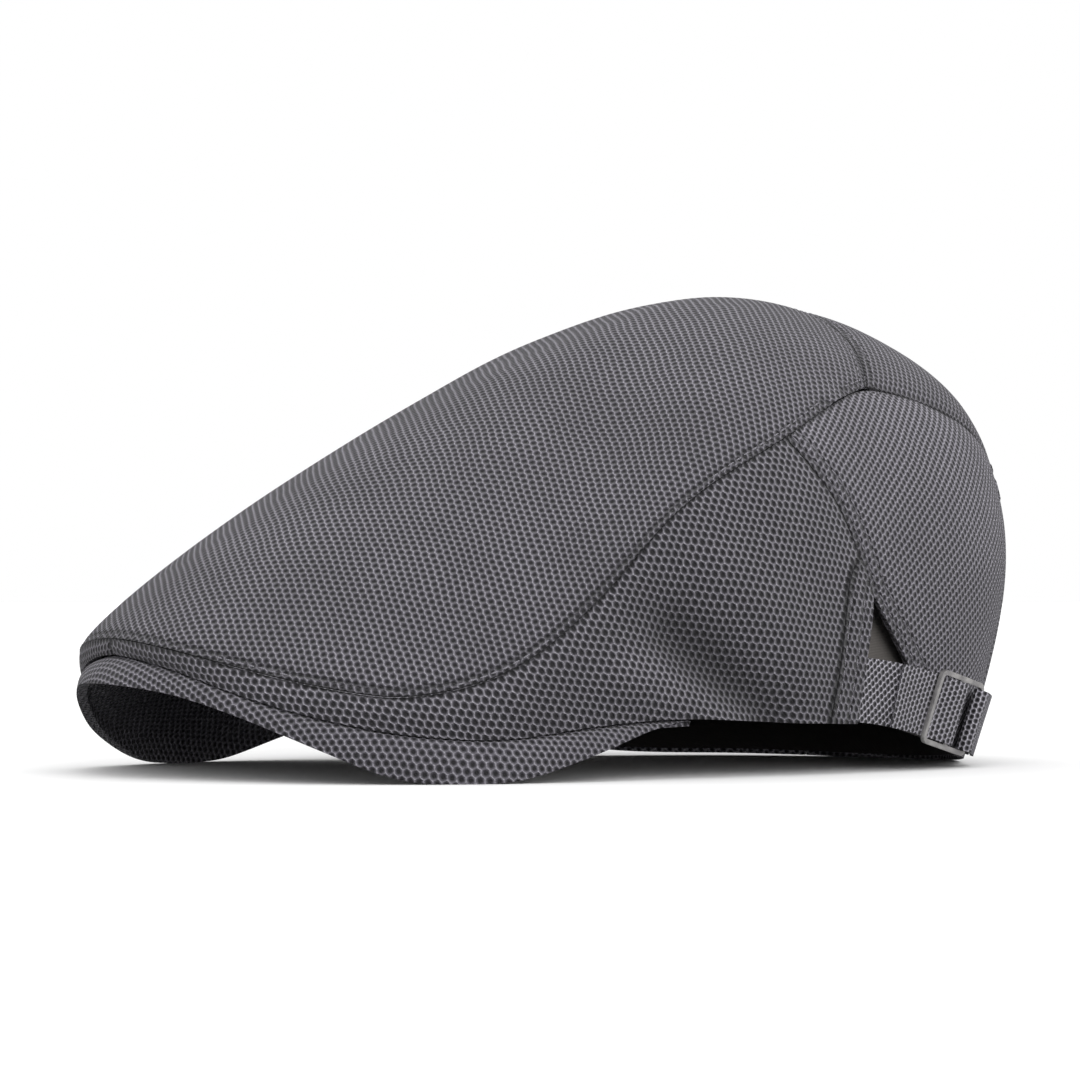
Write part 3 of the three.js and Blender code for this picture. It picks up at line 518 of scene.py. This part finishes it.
def merged_copy(node: str, name: str) -> Object:
    """Copies a CAD node's mesh, joins its loose triangles and pairs them to quads.

    Args:
        node: Name of the CAD node.
        name: Name of the new piece.

    Returns:
        The new piece, selected and active.
    """
    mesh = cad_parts[node].data.copy()
    mesh.materials.clear()
    piece = add_object(name, mesh)
    select_only(piece)
    bpy.ops.mesh.customdata_custom_splitnormals_clear()
    bpy.ops.object.mode_set(mode="EDIT")
    bpy.ops.mesh.select_all(action="SELECT")
    bpy.ops.mesh.remove_doubles(threshold=WELD)
    bpy.ops.mesh.tris_convert_to_quads(face_threshold=QUAD_BEND, shape_threshold=QUAD_SKEW)
    bpy.ops.object.mode_set(mode="OBJECT")
    return piece


def crease_edges(piece: Object) -> None:
    """Creases a piece's sharp edges and their corners and marks the edges as seams for the cloth map."""
    edit = bmesh.new()
    edit.from_mesh(piece.data)
    crease = edit.edges.layers.float.get("crease_edge") or edit.edges.layers.float.new("crease_edge")
    for edge in edit.edges:
        sharp = len(edge.link_faces) == 2 and edge.calc_face_angle(0.0) > SHARP_EDGE
        edge[crease] = 1.0 if sharp else 0.0
        edge.seam = sharp
    corner = edit.verts.layers.float.get("crease_vert") or edit.verts.layers.float.new("crease_vert")
    for vertex in edit.verts:
        arms = [edge.other_vert(vertex).co - vertex.co for edge in vertex.link_edges if edge.seam]
        turned = len(arms) == 2 and arms[0].angle(-arms[1], 0.0) > CORNER_TURN
        vertex[corner] = 1.0 if turned else 0.0
    edit.to_mesh(piece.data)
    edit.free()


def surface_of(obj: Object) -> BVHTree:
    """Search tree of an object's faces."""
    mesh = obj.data
    return BVHTree.FromPolygons([v.co for v in mesh.vertices], [p.vertices[:] for p in mesh.polygons])


def outward(points: np.ndarray) -> np.ndarray:
    """Rough outward direction of the crown at each point, used to move both sides of the cloth alike.

    Args:
        points: Points in metres, one to a row.

    Returns:
        Unit directions, one to a row.
    """
    away = (points - CROWN_MIDDLE) / CROWN_REACH**2
    away[:, 2] = np.maximum(away[:, 2], -1.0)
    return away / np.linalg.norm(away, axis=1, keepdims=True)


@dataclass(frozen=True)
class Fold:
    """Soft fold or hollow in the cloth along a line, in millimetres. A negative height is a hollow."""

    start: tuple[float, float, float]
    end: tuple[float, float, float]
    width: float
    height: float

    def lift(self, points: np.ndarray) -> np.ndarray:
        """How far the fold lifts each point, in metres."""
        start, end = np.array(self.start) * MM, np.array(self.end) * MM
        run = end - start
        share = np.clip((points - start) @ run / (run @ run), 0, 1)
        near = start + share[:, None] * run
        distance = np.linalg.norm(points - near, axis=1) / (self.width * MM)
        return self.height * MM * np.exp(-(distance**2))

    def inside(self, depth: float) -> "Fold":
        """The same fold in cloth that lies some millimetres further inside the left of the cap."""
        shift = np.array((depth, 0, 0))
        return Fold(tuple(self.start - shift), tuple(self.end - shift), self.width, self.height)


# Painted light: lighter knots and threads, a lit copy of the mesh's colours for the side panels and the
# strap.
PAINTED_LIGHT_THREAD = {"knot": "#d3d0da", "thread": "#85828a"}
BAND_DEPTH = 3.0  # millimetres from the side panel in to the sweatband
EAR_FOLDS = (
    Fold((91, -24, 44), (88, 14, 20), 14.0, -1.3),
    Fold((90, -16, 38), (88, 18, 15), 6.5, -3.0),
    Fold((90, -30, 26), (87, 6, 13), 7.0, 2.0),
    Fold((90, -2, 54), (87, 30, 26), 10.0, 1.5),
)


@dataclass
class ClothPiece:
    """A piece of cloth made over its CAD node: rounded, sunk at its seams and softly uneven."""

    node: str
    finish: Material
    slot: Slot = Slot.MESH
    grain: tuple[float, float, float] = (1.0, 0.0, 0.0)  # direction of the pits' rows
    seams: Sequence[str] = ()  # neighbours whose seam sinks
    stitched: Sequence[str] = ()  # neighbours along which the seam is topstitched
    rows: tuple[float, ...] = ()  # millimetres from the stitched edges to each row of stitches
    doubled: bool = False  # whether the slit's edge is turned over into a hem
    folds: Sequence[Fold] = ()
    levels: int = 2
    bevel: float = 0.2
    valley: float = 0.55  # depth of the seam, in millimetres
    rests_on: tuple[str, ...] = ("sweatband",)
    held: str | None = "stretched"  # None where the piece is stiff
    piece: Object = field(init=False)
    cut: tuple[float, float] = field(init=False, default=(0.0, 0.0))  # width and length of the flat cut

    def build(self) -> Object:
        """Models the piece, maps and dresses it.

        Returns:
            The finished piece.
        """
        self.piece = merged_copy(self.node, f"{self.node}_cloth")
        crease_edges(self.piece)
        self.map_cloth()
        apply_modifier(self.piece, "SUBSURF", levels=self.levels, render_levels=self.levels)
        self.shape()
        rounding = {"width": self.bevel * MM, "segments": 3, "angle_limit": SHARP_EDGE}
        apply_modifier(self.piece, "BEVEL", limit_method="ANGLE", **rounding)
        select_only(self.piece)
        bpy.ops.object.shade_smooth()
        self.dress()
        return self.piece

    def map_cloth(self) -> None:
        """Unwraps the cloth and turns and scales its map to the grain and to metres."""
        select_only(self.piece)
        self.piece.data.uv_layers.new(name=CLOTH_UV)
        for layer in [x for x in self.piece.data.uv_layers if x.name != CLOTH_UV]:
            self.piece.data.uv_layers.remove(layer)
        bpy.ops.object.mode_set(mode="EDIT")
        bpy.ops.mesh.select_all(action="SELECT")
        bpy.ops.uv.unwrap(method="ANGLE_BASED", margin=0.01)
        bpy.ops.object.mode_set(mode="OBJECT")
        edit = bmesh.new()
        edit.from_mesh(self.piece.data)
        layer = edit.loops.layers.uv[CLOTH_UV]
        grain = Vector(self.grain)
        groups = self.islands(edit)
        for island in groups:
            self.settle_island(island, layer, grain)
        largest = max(groups, key=lambda group: sum(face.calc_area() for face in group))
        self.cut = least_rectangle(np.array([loop[layer].uv[:] for face in largest for loop in face.loops]))
        edit.to_mesh(self.piece.data)
        edit.free()

    @staticmethod
    def islands(edit: bmesh.types.BMesh) -> list[list[bmesh.types.BMFace]]:
        """Groups the faces that no seam parts.

        Args:
            edit: The mesh.

        Returns:
            Lists of faces.
        """
        seen: set[int] = set()
        groups = []
        for first in edit.faces:
            if first.index in seen:
                continue
            seen.add(first.index)
            group, front = [], [first]
            while front:
                face = front.pop()
                group.append(face)
                for edge in face.edges:
                    for other in () if edge.seam else edge.link_faces:
                        if other.index not in seen:
                            seen.add(other.index)
                            front.append(other)
            groups.append(group)
        return groups

    @staticmethod
    def settle_island(faces: list[bmesh.types.BMFace], layer: Any, grain: Vector) -> None:
        """Scales an island of the map to metres and turns it so that the grain runs along its first axis.

        Args:
            faces: The island's faces.
            layer: The UV layer.
            grain: Direction of the pits' rows.
        """
        area, flat, along = 0.0, 0.0, Vector((0.0, 0.0))
        for face in faces:
            uvs = [loop[layer].uv.copy() for loop in face.loops]
            one, two = uvs[1] - uvs[0], uvs[-1] - uvs[0]
            corner = face.loops[0].vert.co
            a, b = face.loops[0].link_loop_next.vert.co - corner, face.loops[-1].vert.co - corner
            size = face.calc_area()
            area += size
            flat += abs(sum(p.x * q.y - q.x * p.y for p, q in zip(uvs, uvs[1:] + uvs[:1]))) / 2
            level = grain - face.normal * grain.dot(face.normal)
            grid = np.array([[a.dot(a), a.dot(b)], [a.dot(b), b.dot(b)]])
            if abs(np.linalg.det(grid)) < THIN_CORNER or level.length < LEAST_GRAIN:
                continue
            s, t = np.linalg.solve(grid, [level.dot(a), level.dot(b)])
            along += (one * s + two * t) * size
        scale = math.sqrt(area / flat) if flat else 1.0
        turn = -math.atan2(along.y, along.x)
        cos, sin = math.cos(turn) * scale, math.sin(turn) * scale
        for face in faces:
            for loop in face.loops:
                x, y = loop[layer].uv
                loop[layer].uv = (x * cos - y * sin, x * sin + y * cos)

    def shape(self) -> None:
        """Sinks the seams, lifts the hem, adds the folds and a soft unevenness, and stores the maps."""
        mesh = self.piece.data
        points = np.empty(len(mesh.vertices) * 3)
        mesh.vertices.foreach_get("co", points)
        points = points.reshape(-1, 3)
        away = outward(points)
        folded = sum((fold.lift(points) for fold in self.folds), np.zeros(len(points)))
        # How deep each point lies in a fold's hollow, which sets the hollow's painted shade.
        hollow = np.clip(-folded / HOLLOW_DEPTH, 0, 1)
        lift = folded + self.unevenness(points)
        normals = np.array([v.normal[:] for v in mesh.vertices])
        outer = (normals * away).sum(axis=1) > OUTER_POINT
        slit = self.slit_runs()
        from_seam = self.distances(points, outer, self.seam_runs(self.seams))
        from_hem = self.distances(points, outer, slit if self.doubled else [])
        from_stitched = self.distances(points, outer, self.seam_runs(self.stitched) + slit)
        for spread, share in SEAM_DIPS:
            lift -= outer * share * self.valley * MM * np.exp(-((from_seam / spread) ** 2))
        lift += outer * HEM_LIFT * np.clip(HEM_WIDTH + HEM_FALL - from_hem, 0, 2 * HEM_FALL)
        moved = points + away * lift[:, None]
        moved[:, 2] = np.maximum(moved[:, 2], 0.0)
        mesh.vertices.foreach_set("co", moved.ravel())
        mesh.update()
        maps = (from_seam, from_stitched, from_hem, hollow * outer, outer)
        for kind, values in zip(Map, maps):
            store = mesh.attributes.new(kind.value, "FLOAT", "POINT")
            store.data.foreach_set("value", values.astype(float))

    def unevenness(self, points: np.ndarray) -> np.ndarray:
        """Soft waves of hand-shaped cloth, in metres, the same for neighbouring pieces.

        Each coordinate is divided by the length in millimetres over which its wave turns by one radian.

        Args:
            points: Points in metres, one to a row.

        Returns:
            Heights, one to a point.
        """
        x, y, z = (points / MM).T
        broad = np.sin(x / 19 + 1.7 * np.sin(y / 41)) * np.sin(y / 23 + z / 31 + 0.8)
        fine = np.sin(x / 8.1 + y / 11.3 + 0.6) * np.sin(y / 7.3 - z / 9.7)
        return (BROAD_WAVE * broad + FINE_WAVE * fine) * MM

    def beside(self, neighbours: Sequence[str]) -> Callable[[Vector], bool]:
        """Makes a test of whether a point lies within a seam's gap of one of the neighbours."""
        trees = [surface_of(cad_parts[name]) for name in neighbours]
        return lambda point: any(tree.find_nearest(point, SEAM_REACH)[0] is not None for tree in trees)

    def seam_runs(self, neighbours: Sequence[str]) -> list[list[Vector]]:
        """Chains of this piece's outer edges that run beside the neighbours.

        Args:
            neighbours: Names of CAD nodes.

        Returns:
            Lists of points along each seam.
        """
        near = self.beside(neighbours)
        return self.edge_runs(lambda start, end: near(start) and near(end)) if neighbours else []

    def slit_runs(self) -> list[list[Vector]]:
        """Chains of this piece's steep outer edges along the slit, where no neighbour is sewn on."""
        if self.node not in SLIT_SIDES:
            return []
        others = self.beside([name for name in (*SLIT_SIDES, "top_panel", "back_panel") if name != self.node])

        def free(start: Vector, end: Vector) -> bool:
            steep = abs(end.z - start.z) > STEEP * (end - start).length
            return steep and start.y > 0 and not (others(start) and others(end))

        return self.edge_runs(free)

    def edge_runs(self, accept: Callable[[Vector, Vector], bool]) -> list[list[Vector]]:
        """Chains of this piece's outer sharp edges that pass a test.

        Args:
            accept: Test of an edge by its two ends.

        Returns:
            Lists of points along each chain.
        """
        edit = bmesh.new()
        edit.from_mesh(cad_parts[self.node].data)
        bmesh.ops.remove_doubles(edit, verts=edit.verts, dist=WELD)
        edit.normal_update()
        links: dict[int, list[int]] = {}
        spots: dict[int, Vector] = {}
        for edge in edit.edges:
            if len(edge.link_faces) != 2 or edge.calc_face_angle(0.0) < SHARP_EDGE:
                continue
            one, two = edge.verts
            away = Vector(outward(np.array([(one.co + two.co)[:]]) / 2)[0])
            facing = max(face.normal.dot(away) for face in edge.link_faces)
            if facing > OUTER_EDGE and accept(one.co, two.co):
                links.setdefault(one.index, []).append(two.index)
                links.setdefault(two.index, []).append(one.index)
                spots[one.index], spots[two.index] = one.co.copy(), two.co.copy()
        edit.free()
        return self.chains(links, spots)

    @staticmethod
    def chains(links: dict[int, list[int]], spots: dict[int, Vector]) -> list[list[Vector]]:
        """Walks linked points end to end.

        Args:
            links: Neighbours of each point.
            spots: Place of each point.

        Returns:
            Chains, resampled to about a millimetre.
        """
        left = set(links)
        runs = []
        while left:
            start = min(left, key=lambda k: (len(links[k]), k))
            chain, here = [start], start
            left.discard(start)
            while True:
                ahead = [k for k in links[here] if k in left]
                if not ahead:
                    break
                here = ahead[0]
                left.discard(here)
                chain.append(here)
            if len(chain) > 1:
                runs.append(evenly([spots[k] for k in chain], MM))
        return runs

    @staticmethod
    def distances(points: np.ndarray, outer: np.ndarray, runs: list[list[Vector]]) -> np.ndarray:
        """Distance from each outer point to the nearest of some lines.

        Args:
            points: Points in metres, one to a row.
            outer: Whether each point is on the cloth's outer side.
            runs: Lines, as points close together.

        Returns:
            Distances in millimetres, FAR at most and on the inner side.
        """
        values = np.full(len(points), FAR)
        targets = [spot for run in runs for spot in run]
        if not targets:
            return values
        tree = KDTree(len(targets))
        for index, target in enumerate(targets):
            tree.insert(target, index)
        tree.balance()
        for index in np.nonzero(outer)[0]:
            values[index] = min(FAR, tree.find(Vector(points[index]))[2] / MM)
        return values

    def dress(self) -> None:
        """Gives the piece its finish, attaches it to the root body and hides its CAD node."""
        self.piece.data.materials.clear()
        self.piece.data.materials.append(self.finish)
        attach(self.piece, "root")
        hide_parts(self.node)


def least_rectangle(points: np.ndarray) -> tuple[float, float]:
    """Width and length of the smallest rectangle round some flat points, tried at every second degree.

    Args:
        points: Flat points, one to a row.

    Returns:
        The rectangle's shorter and longer side.
    """
    sizes = []
    for angle in np.radians(np.arange(0, 90, 2)):
        turned = points @ np.array([[math.cos(angle), -math.sin(angle)], [math.sin(angle), math.cos(angle)]])
        sizes.append(sorted(float(size) for size in np.ptp(turned, axis=0)))
    return tuple(min(sizes, key=math.prod))


def evenly(points: list[Vector], step: float) -> list[Vector]:
    """Points at even steps along a line.

    Args:
        points: The line's corners.
        step: About how far apart the new points are.

    Returns:
        The new points, the line's ends included.
    """
    spans = [(b - a).length for a, b in zip(points, points[1:])]
    total = sum(spans)
    count = max(1, round(total / step))
    marks = np.concatenate([[0.0], np.cumsum(spans)])
    places = np.linspace(0, total, count + 1)
    grid = np.array([p[:] for p in points])
    return [Vector([float(np.interp(place, marks, grid[:, axis])) for axis in range(3)]) for place in places]


@dataclass
class Topstitching:
    """Rows of real stitches along seams, sunk into the cloth."""

    finish: Material
    length: float = 2.5 * MM
    spacing: float = 3.2 * MM
    radius: float = 0.27 * MM
    thickness: float = 0.8  # share of the width
    probe: float = 1.5 * MM  # height from which the cloth under a stitch is looked for
    nearest: float = 0.75  # least share of the offset at which a stitch is sewn
    count: int = 0

    def one_stitch(self) -> Object:
        """Models one stitch as a slim capsule along X."""
        bpy.ops.object.select_all(action="DESELECT")
        bpy.ops.mesh.primitive_uv_sphere_add(segments=6, ring_count=5, radius=self.radius)
        stitch = bpy.context.active_object
        bpy.ops.object.mode_set(mode="EDIT")
        bpy.ops.mesh.select_all(action="SELECT")
        bpy.ops.transform.resize(value=(self.length / (2 * self.radius), 1.0, self.thickness))
        bpy.ops.object.mode_set(mode="OBJECT")
        return stitch

    def sew(self, name: str, cloth: ClothPiece, offset: float) -> Object:
        """Sews a row of stitches beside a piece's stitched edges.

        Args:
            name: Name of the new piece.
            cloth: Cloth that carries the stitches.
            offset: Distance from the edges, in millimetres.

        Returns:
            The row as one mesh.
        """
        surface = surface_of(cloth.piece)
        stitch = self.one_stitch()
        shape = np.array([v.co[:] for v in stitch.data.vertices])
        faces = [tuple(p.vertices) for p in stitch.data.polygons]
        corners: list[np.ndarray] = []
        skins: list[tuple[int, ...]] = []
        for run in cloth.seam_runs(cloth.stitched) + cloth.slit_runs():
            spots = evenly(run, self.spacing)
            for index, spot in enumerate(spots[1:-1], 1):
                ahead = (spots[index + 1] - spots[index - 1]).normalized()
                placed = self.place(surface, spot, ahead, offset)
                if placed is None:
                    continue
                place, up = placed
                side = up.cross(ahead).normalized()
                ahead = side.cross(up)
                base = np.array([ahead[:], side[:], up[:]])
                start = len(corners) * len(shape)
                corners.append(shape @ base + np.array(place[:]))
                skins.extend(tuple(k + start for k in face) for face in faces)
        bpy.data.objects.remove(stitch, do_unlink=True)
        LOG.info("%s: %d stitches", name, len(corners))
        mesh = bpy.data.meshes.new(name)
        mesh.from_pydata(np.concatenate(corners).tolist(), [], skins)
        mesh.materials.append(self.finish)
        row = add_object(name, mesh)
        select_only(row)
        bpy.ops.object.shade_smooth()
        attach(row, "root")
        self.count += len(corners)
        return row

    def place(
        self, surface: BVHTree, spot: Vector, ahead: Vector, offset: float
    ) -> tuple[Vector, Vector] | None:
        """Place and upward direction of a stitch on the cloth.

        Args:
            surface: The cloth's faces.
            spot: Point of the seam.
            ahead: Direction of the seam.
            offset: Distance from the seam, in millimetres.

        Returns:
            The place and the cloth's normal there, or None off the cloth.
        """
        up = Vector(outward(np.array([spot[:]]))[0])
        aside = up.cross(ahead).normalized() * offset * MM
        probes = [surface.find_nearest(spot + up * self.probe + aside * sign) for sign in (-1, 1)]
        found, normal, *_ = max(probes, key=lambda probe: (probe[0] - spot).length)
        if (found - spot).length < self.nearest * offset * MM or normal.dot(up) < OUTER_STITCH:
            return None
        return found, normal


@dataclass
class Crown:
    """The crown's panels, sewn together."""

    panels: dict[str, ClothPiece] = field(default_factory=dict)

    def add(self, node: str, weave: dict[str, float], **settings: Any) -> None:
        """Builds one panel.

        Args:
            node: Name of its CAD node.
            weave: The cloth's own sizes where it is stretched.
            settings: Fields of the piece of cloth.
        """
        cloth = MeshCloth(name=f"mesh_{node}", stitch_rows=settings.get("rows", ()), **weave)
        panel = ClothPiece(node, cloth.make(), **settings)
        log_piece(panel.build())
        self.panels[node] = panel

    def build(self) -> None:
        """Builds all the panels."""
        quarters = ("quarter_panel_left", "quarter_panel_right")
        sewn_to_top = ("side_panel_left", "side_panel_right", *quarters, "back_panel")
        ribbed = {"rib": 0.36}
        self.add(
            "top_panel",
            ribbed,
            grain=(0.814, -0.147, -0.534),
            seams=sewn_to_top,
            stitched=sewn_to_top,
            rows=(2.2,),
        )
        for sign, side, other in ((1, "left", "right"), (-1, "right", "left")):
            self.add(
                f"side_panel_{side}",
                # Painted light: the side panels' mesh in its lighter copy.
                {"pitch": 2.6 * MM, "row": 1.68 * MM, "skew": -0.16 * sign, "rib": 0.4, **PAINTED_LIGHT_THREAD},
                grain=(0.0, -0.62, 0.79),
                seams=("top_panel", f"quarter_panel_{side}", f"side_panel_{other}"),
                rows=(4.2, 9.6) if sign > 0 else (),
                doubled=sign > 0,
                folds=EAR_FOLDS if sign > 0 else (),
            )
            self.add(
                f"quarter_panel_{side}",
                {"pitch": 1.7 * MM, "row": 2.1 * MM, "rib": 0.05},
                grain=(-0.2 * sign, 0.73, 0.65),
                seams=("top_panel", f"side_panel_{side}", "back_panel"),
                stitched=(f"side_panel_{side}",),
                rows=(1.8, 5.0),
            )
        self.add(
            "back_panel", ribbed, seams=("top_panel", *quarters), stitched=("top_panel",), rows=(2.2,)
        )


@dataclass
class Peak:
    """The stiff peak under the lip, covered in mesh cloth."""

    mesh: Material

    def build(self) -> None:
        """Builds the peak."""
        log_piece(ClothPiece("peak", self.mesh, bevel=0.9, held=None).build())


@dataclass
class Fastening:
    """The sweatband, the strap with its buckle, and the tab that holds the buckle."""

    mesh: Material
    dark: Material
    metal: Material
    bar_rounding: float = 0.42 * MM
    smooth_angle: float = math.radians(40)

    def build(self) -> None:
        """Builds the pieces."""
        folds = [fold.inside(BAND_DEPTH) for fold in EAR_FOLDS]
        sides = ("side_panel_left", "side_panel_right")
        looks = {"slot": Slot.DARK, "grain": (0.0, 1.0, 0.0), "bevel": 0.4, "folds": folds}
        log_piece(ClothPiece("sweatband", self.dark, rests_on=sides, **looks).build())
        for node, sewn_to in (("adjuster_strap", "side_panel_left"), ("buckle_tab", "back_panel")):
            settings = {"grain": (-0.3, 0.73, 0.65), "seams": (sewn_to,), "bevel": 0.3, "valley": 0.0}
            log_piece(ClothPiece(node, self.mesh, held="folded", **settings).build())
        self.buckle()

    def buckle(self) -> None:
        """Rounds the buckle's bars and dresses it."""
        piece = merged_copy("slide_buckle", "buckle_frame")
        rounding = {"width": self.bar_rounding, "segments": 4, "angle_limit": SHARP_EDGE}
        apply_modifier(piece, "BEVEL", limit_method="ANGLE", **rounding)
        select_only(piece)
        bpy.ops.object.shade_smooth_by_angle(angle=self.smooth_angle)
        piece.data.materials.append(self.metal)
        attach(piece, "root")
        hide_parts("slide_buckle")
        log_piece(piece)


@dataclass(frozen=True)
class Sun:
    """Soft light from far away."""

    name: str
    towards: tuple[float, float, float]  # the way from the cap to the light
    strength: float
    angle: float  # degrees that it fills


@dataclass(frozen=True)
class Studio:
    """Pale floor, white surroundings and soft light, with the camera at the photograph's angle."""

    distance: float = 1.2
    azimuth: float = 60.0
    eye: float = 0.047
    target_y: float = -0.0043
    lens: float = 142.8
    shift: float = 60 / 1080
    floor_radius: float = 60.0
    suns: tuple[Sun, ...] = (
        Sun("key", (0.3, -0.2, 0.9), 0.3, 30),
        Sun("fill", (0.85, -0.1, 0.3), 1.6, 40),
    )

    def build(self) -> None:
        """Sets up the floor, the light and the camera."""
        self.floor()
        self.surroundings()
        self.lights()
        self.camera()

    def floor(self) -> None:
        """Lays a plain pale floor."""
        bpy.ops.object.select_all(action="DESELECT")
        bpy.ops.mesh.primitive_circle_add(vertices=96, radius=self.floor_radius, fill_type="NGON")
        floor = bpy.context.active_object
        floor.name = "floor"
        material, tree, shader = new_material("pale_floor")
        place = add_node(tree, "TexCoord").outputs["Object"]
        cloud = add_node(tree, "TexNoise", inputs={"Vector": place, "Scale": 1.5})
        dress_shader(tree, shader, shades(tree, cloud.outputs["Fac"], (0.0, "#fafafa"), (1.0, "#ffffff")))
        shader.inputs["Roughness"].default_value = 1.0
        shader.inputs["Specular IOR Level"].default_value = 0.0
        floor.data.materials.append(material)
        floor.visible_diffuse = False

    def surroundings(self) -> None:
        """White above the floor and dark below it, so that little light comes from under the cap."""
        world = bpy.data.worlds.new("white_studio")
        bpy.context.scene.world = world
        world.use_nodes = True
        tree = world.node_tree
        tree.nodes.clear()
        way = add_node(tree, "TexCoord").outputs["Generated"]
        split = add_node(tree, "SeparateXYZ", inputs={0: way})
        limits = {"From Min": -0.05, "From Max": -0.002}
        above = add_node(tree, "MapRange", inputs={"Value": split.outputs["Z"], **limits})
        colour = shades(tree, above.outputs[0], (0.0, "#2a2a2c"), (1.0, "#ffffff"))
        back = add_node(tree, "Background", inputs={"Color": colour, "Strength": 1.0})
        add_node(tree, "OutputWorld", inputs={"Surface": back.outputs[0]})

    def lights(self) -> None:
        """Soft light from the front left and above, and a softer one from the camera's side."""
        for sun in self.suns:
            light = bpy.data.lights.new(sun.name, "SUN")
            light.energy = sun.strength
            light.angle = math.radians(sun.angle)
            lamp = add_object(sun.name, light)
            lamp.rotation_euler = Vector(sun.towards).to_track_quat("Z", "Y").to_euler()

    def camera(self) -> None:
        """Adds the camera, level and a little above the floor."""
        data = bpy.data.cameras.new("camera")
        data.lens = self.lens
        data.sensor_width = 36.0
        data.shift_y = self.shift
        data.clip_end = 200.0
        camera = add_object("camera", data)
        turn = math.radians(self.azimuth)
        camera.location = (
            self.distance * math.sin(turn),
            self.target_y - self.distance * math.cos(turn),
            self.eye,
        )
        camera.rotation_euler = (math.radians(90), 0.0, turn)
        bpy.context.scene.camera = camera
        bpy.context.scene.view_settings.view_transform = "Standard"


def main() -> None:
    """Builds the cap piece by piece, then the studio round it."""
    logging.basicConfig(level=logging.INFO, format="%(name)s: %(message)s")
    Studio().build()
    crown = Crown()
    crown.build()
    Peak(MeshCloth(name="mesh_peak").make()).build()
    # Painted light: the strap's mesh in the lighter copy too.
    strap = MeshCloth(name="mesh_strap", pitch=1.6 * MM, row=1.75 * MM, **PAINTED_LIGHT_THREAD).make()
    Fastening(strap, BandCloth().make(), CastZinc().make()).build()
    sewing = Topstitching(Thread().make())
    for node, panel in crown.panels.items():
        for row in panel.rows:
            sewing.sew(f"stitches_{node}_{row:.0f}", panel, row)
    LOG.info("topstitching: %d stitches", sewing.count)


if __name__ == "__main__":
    main()
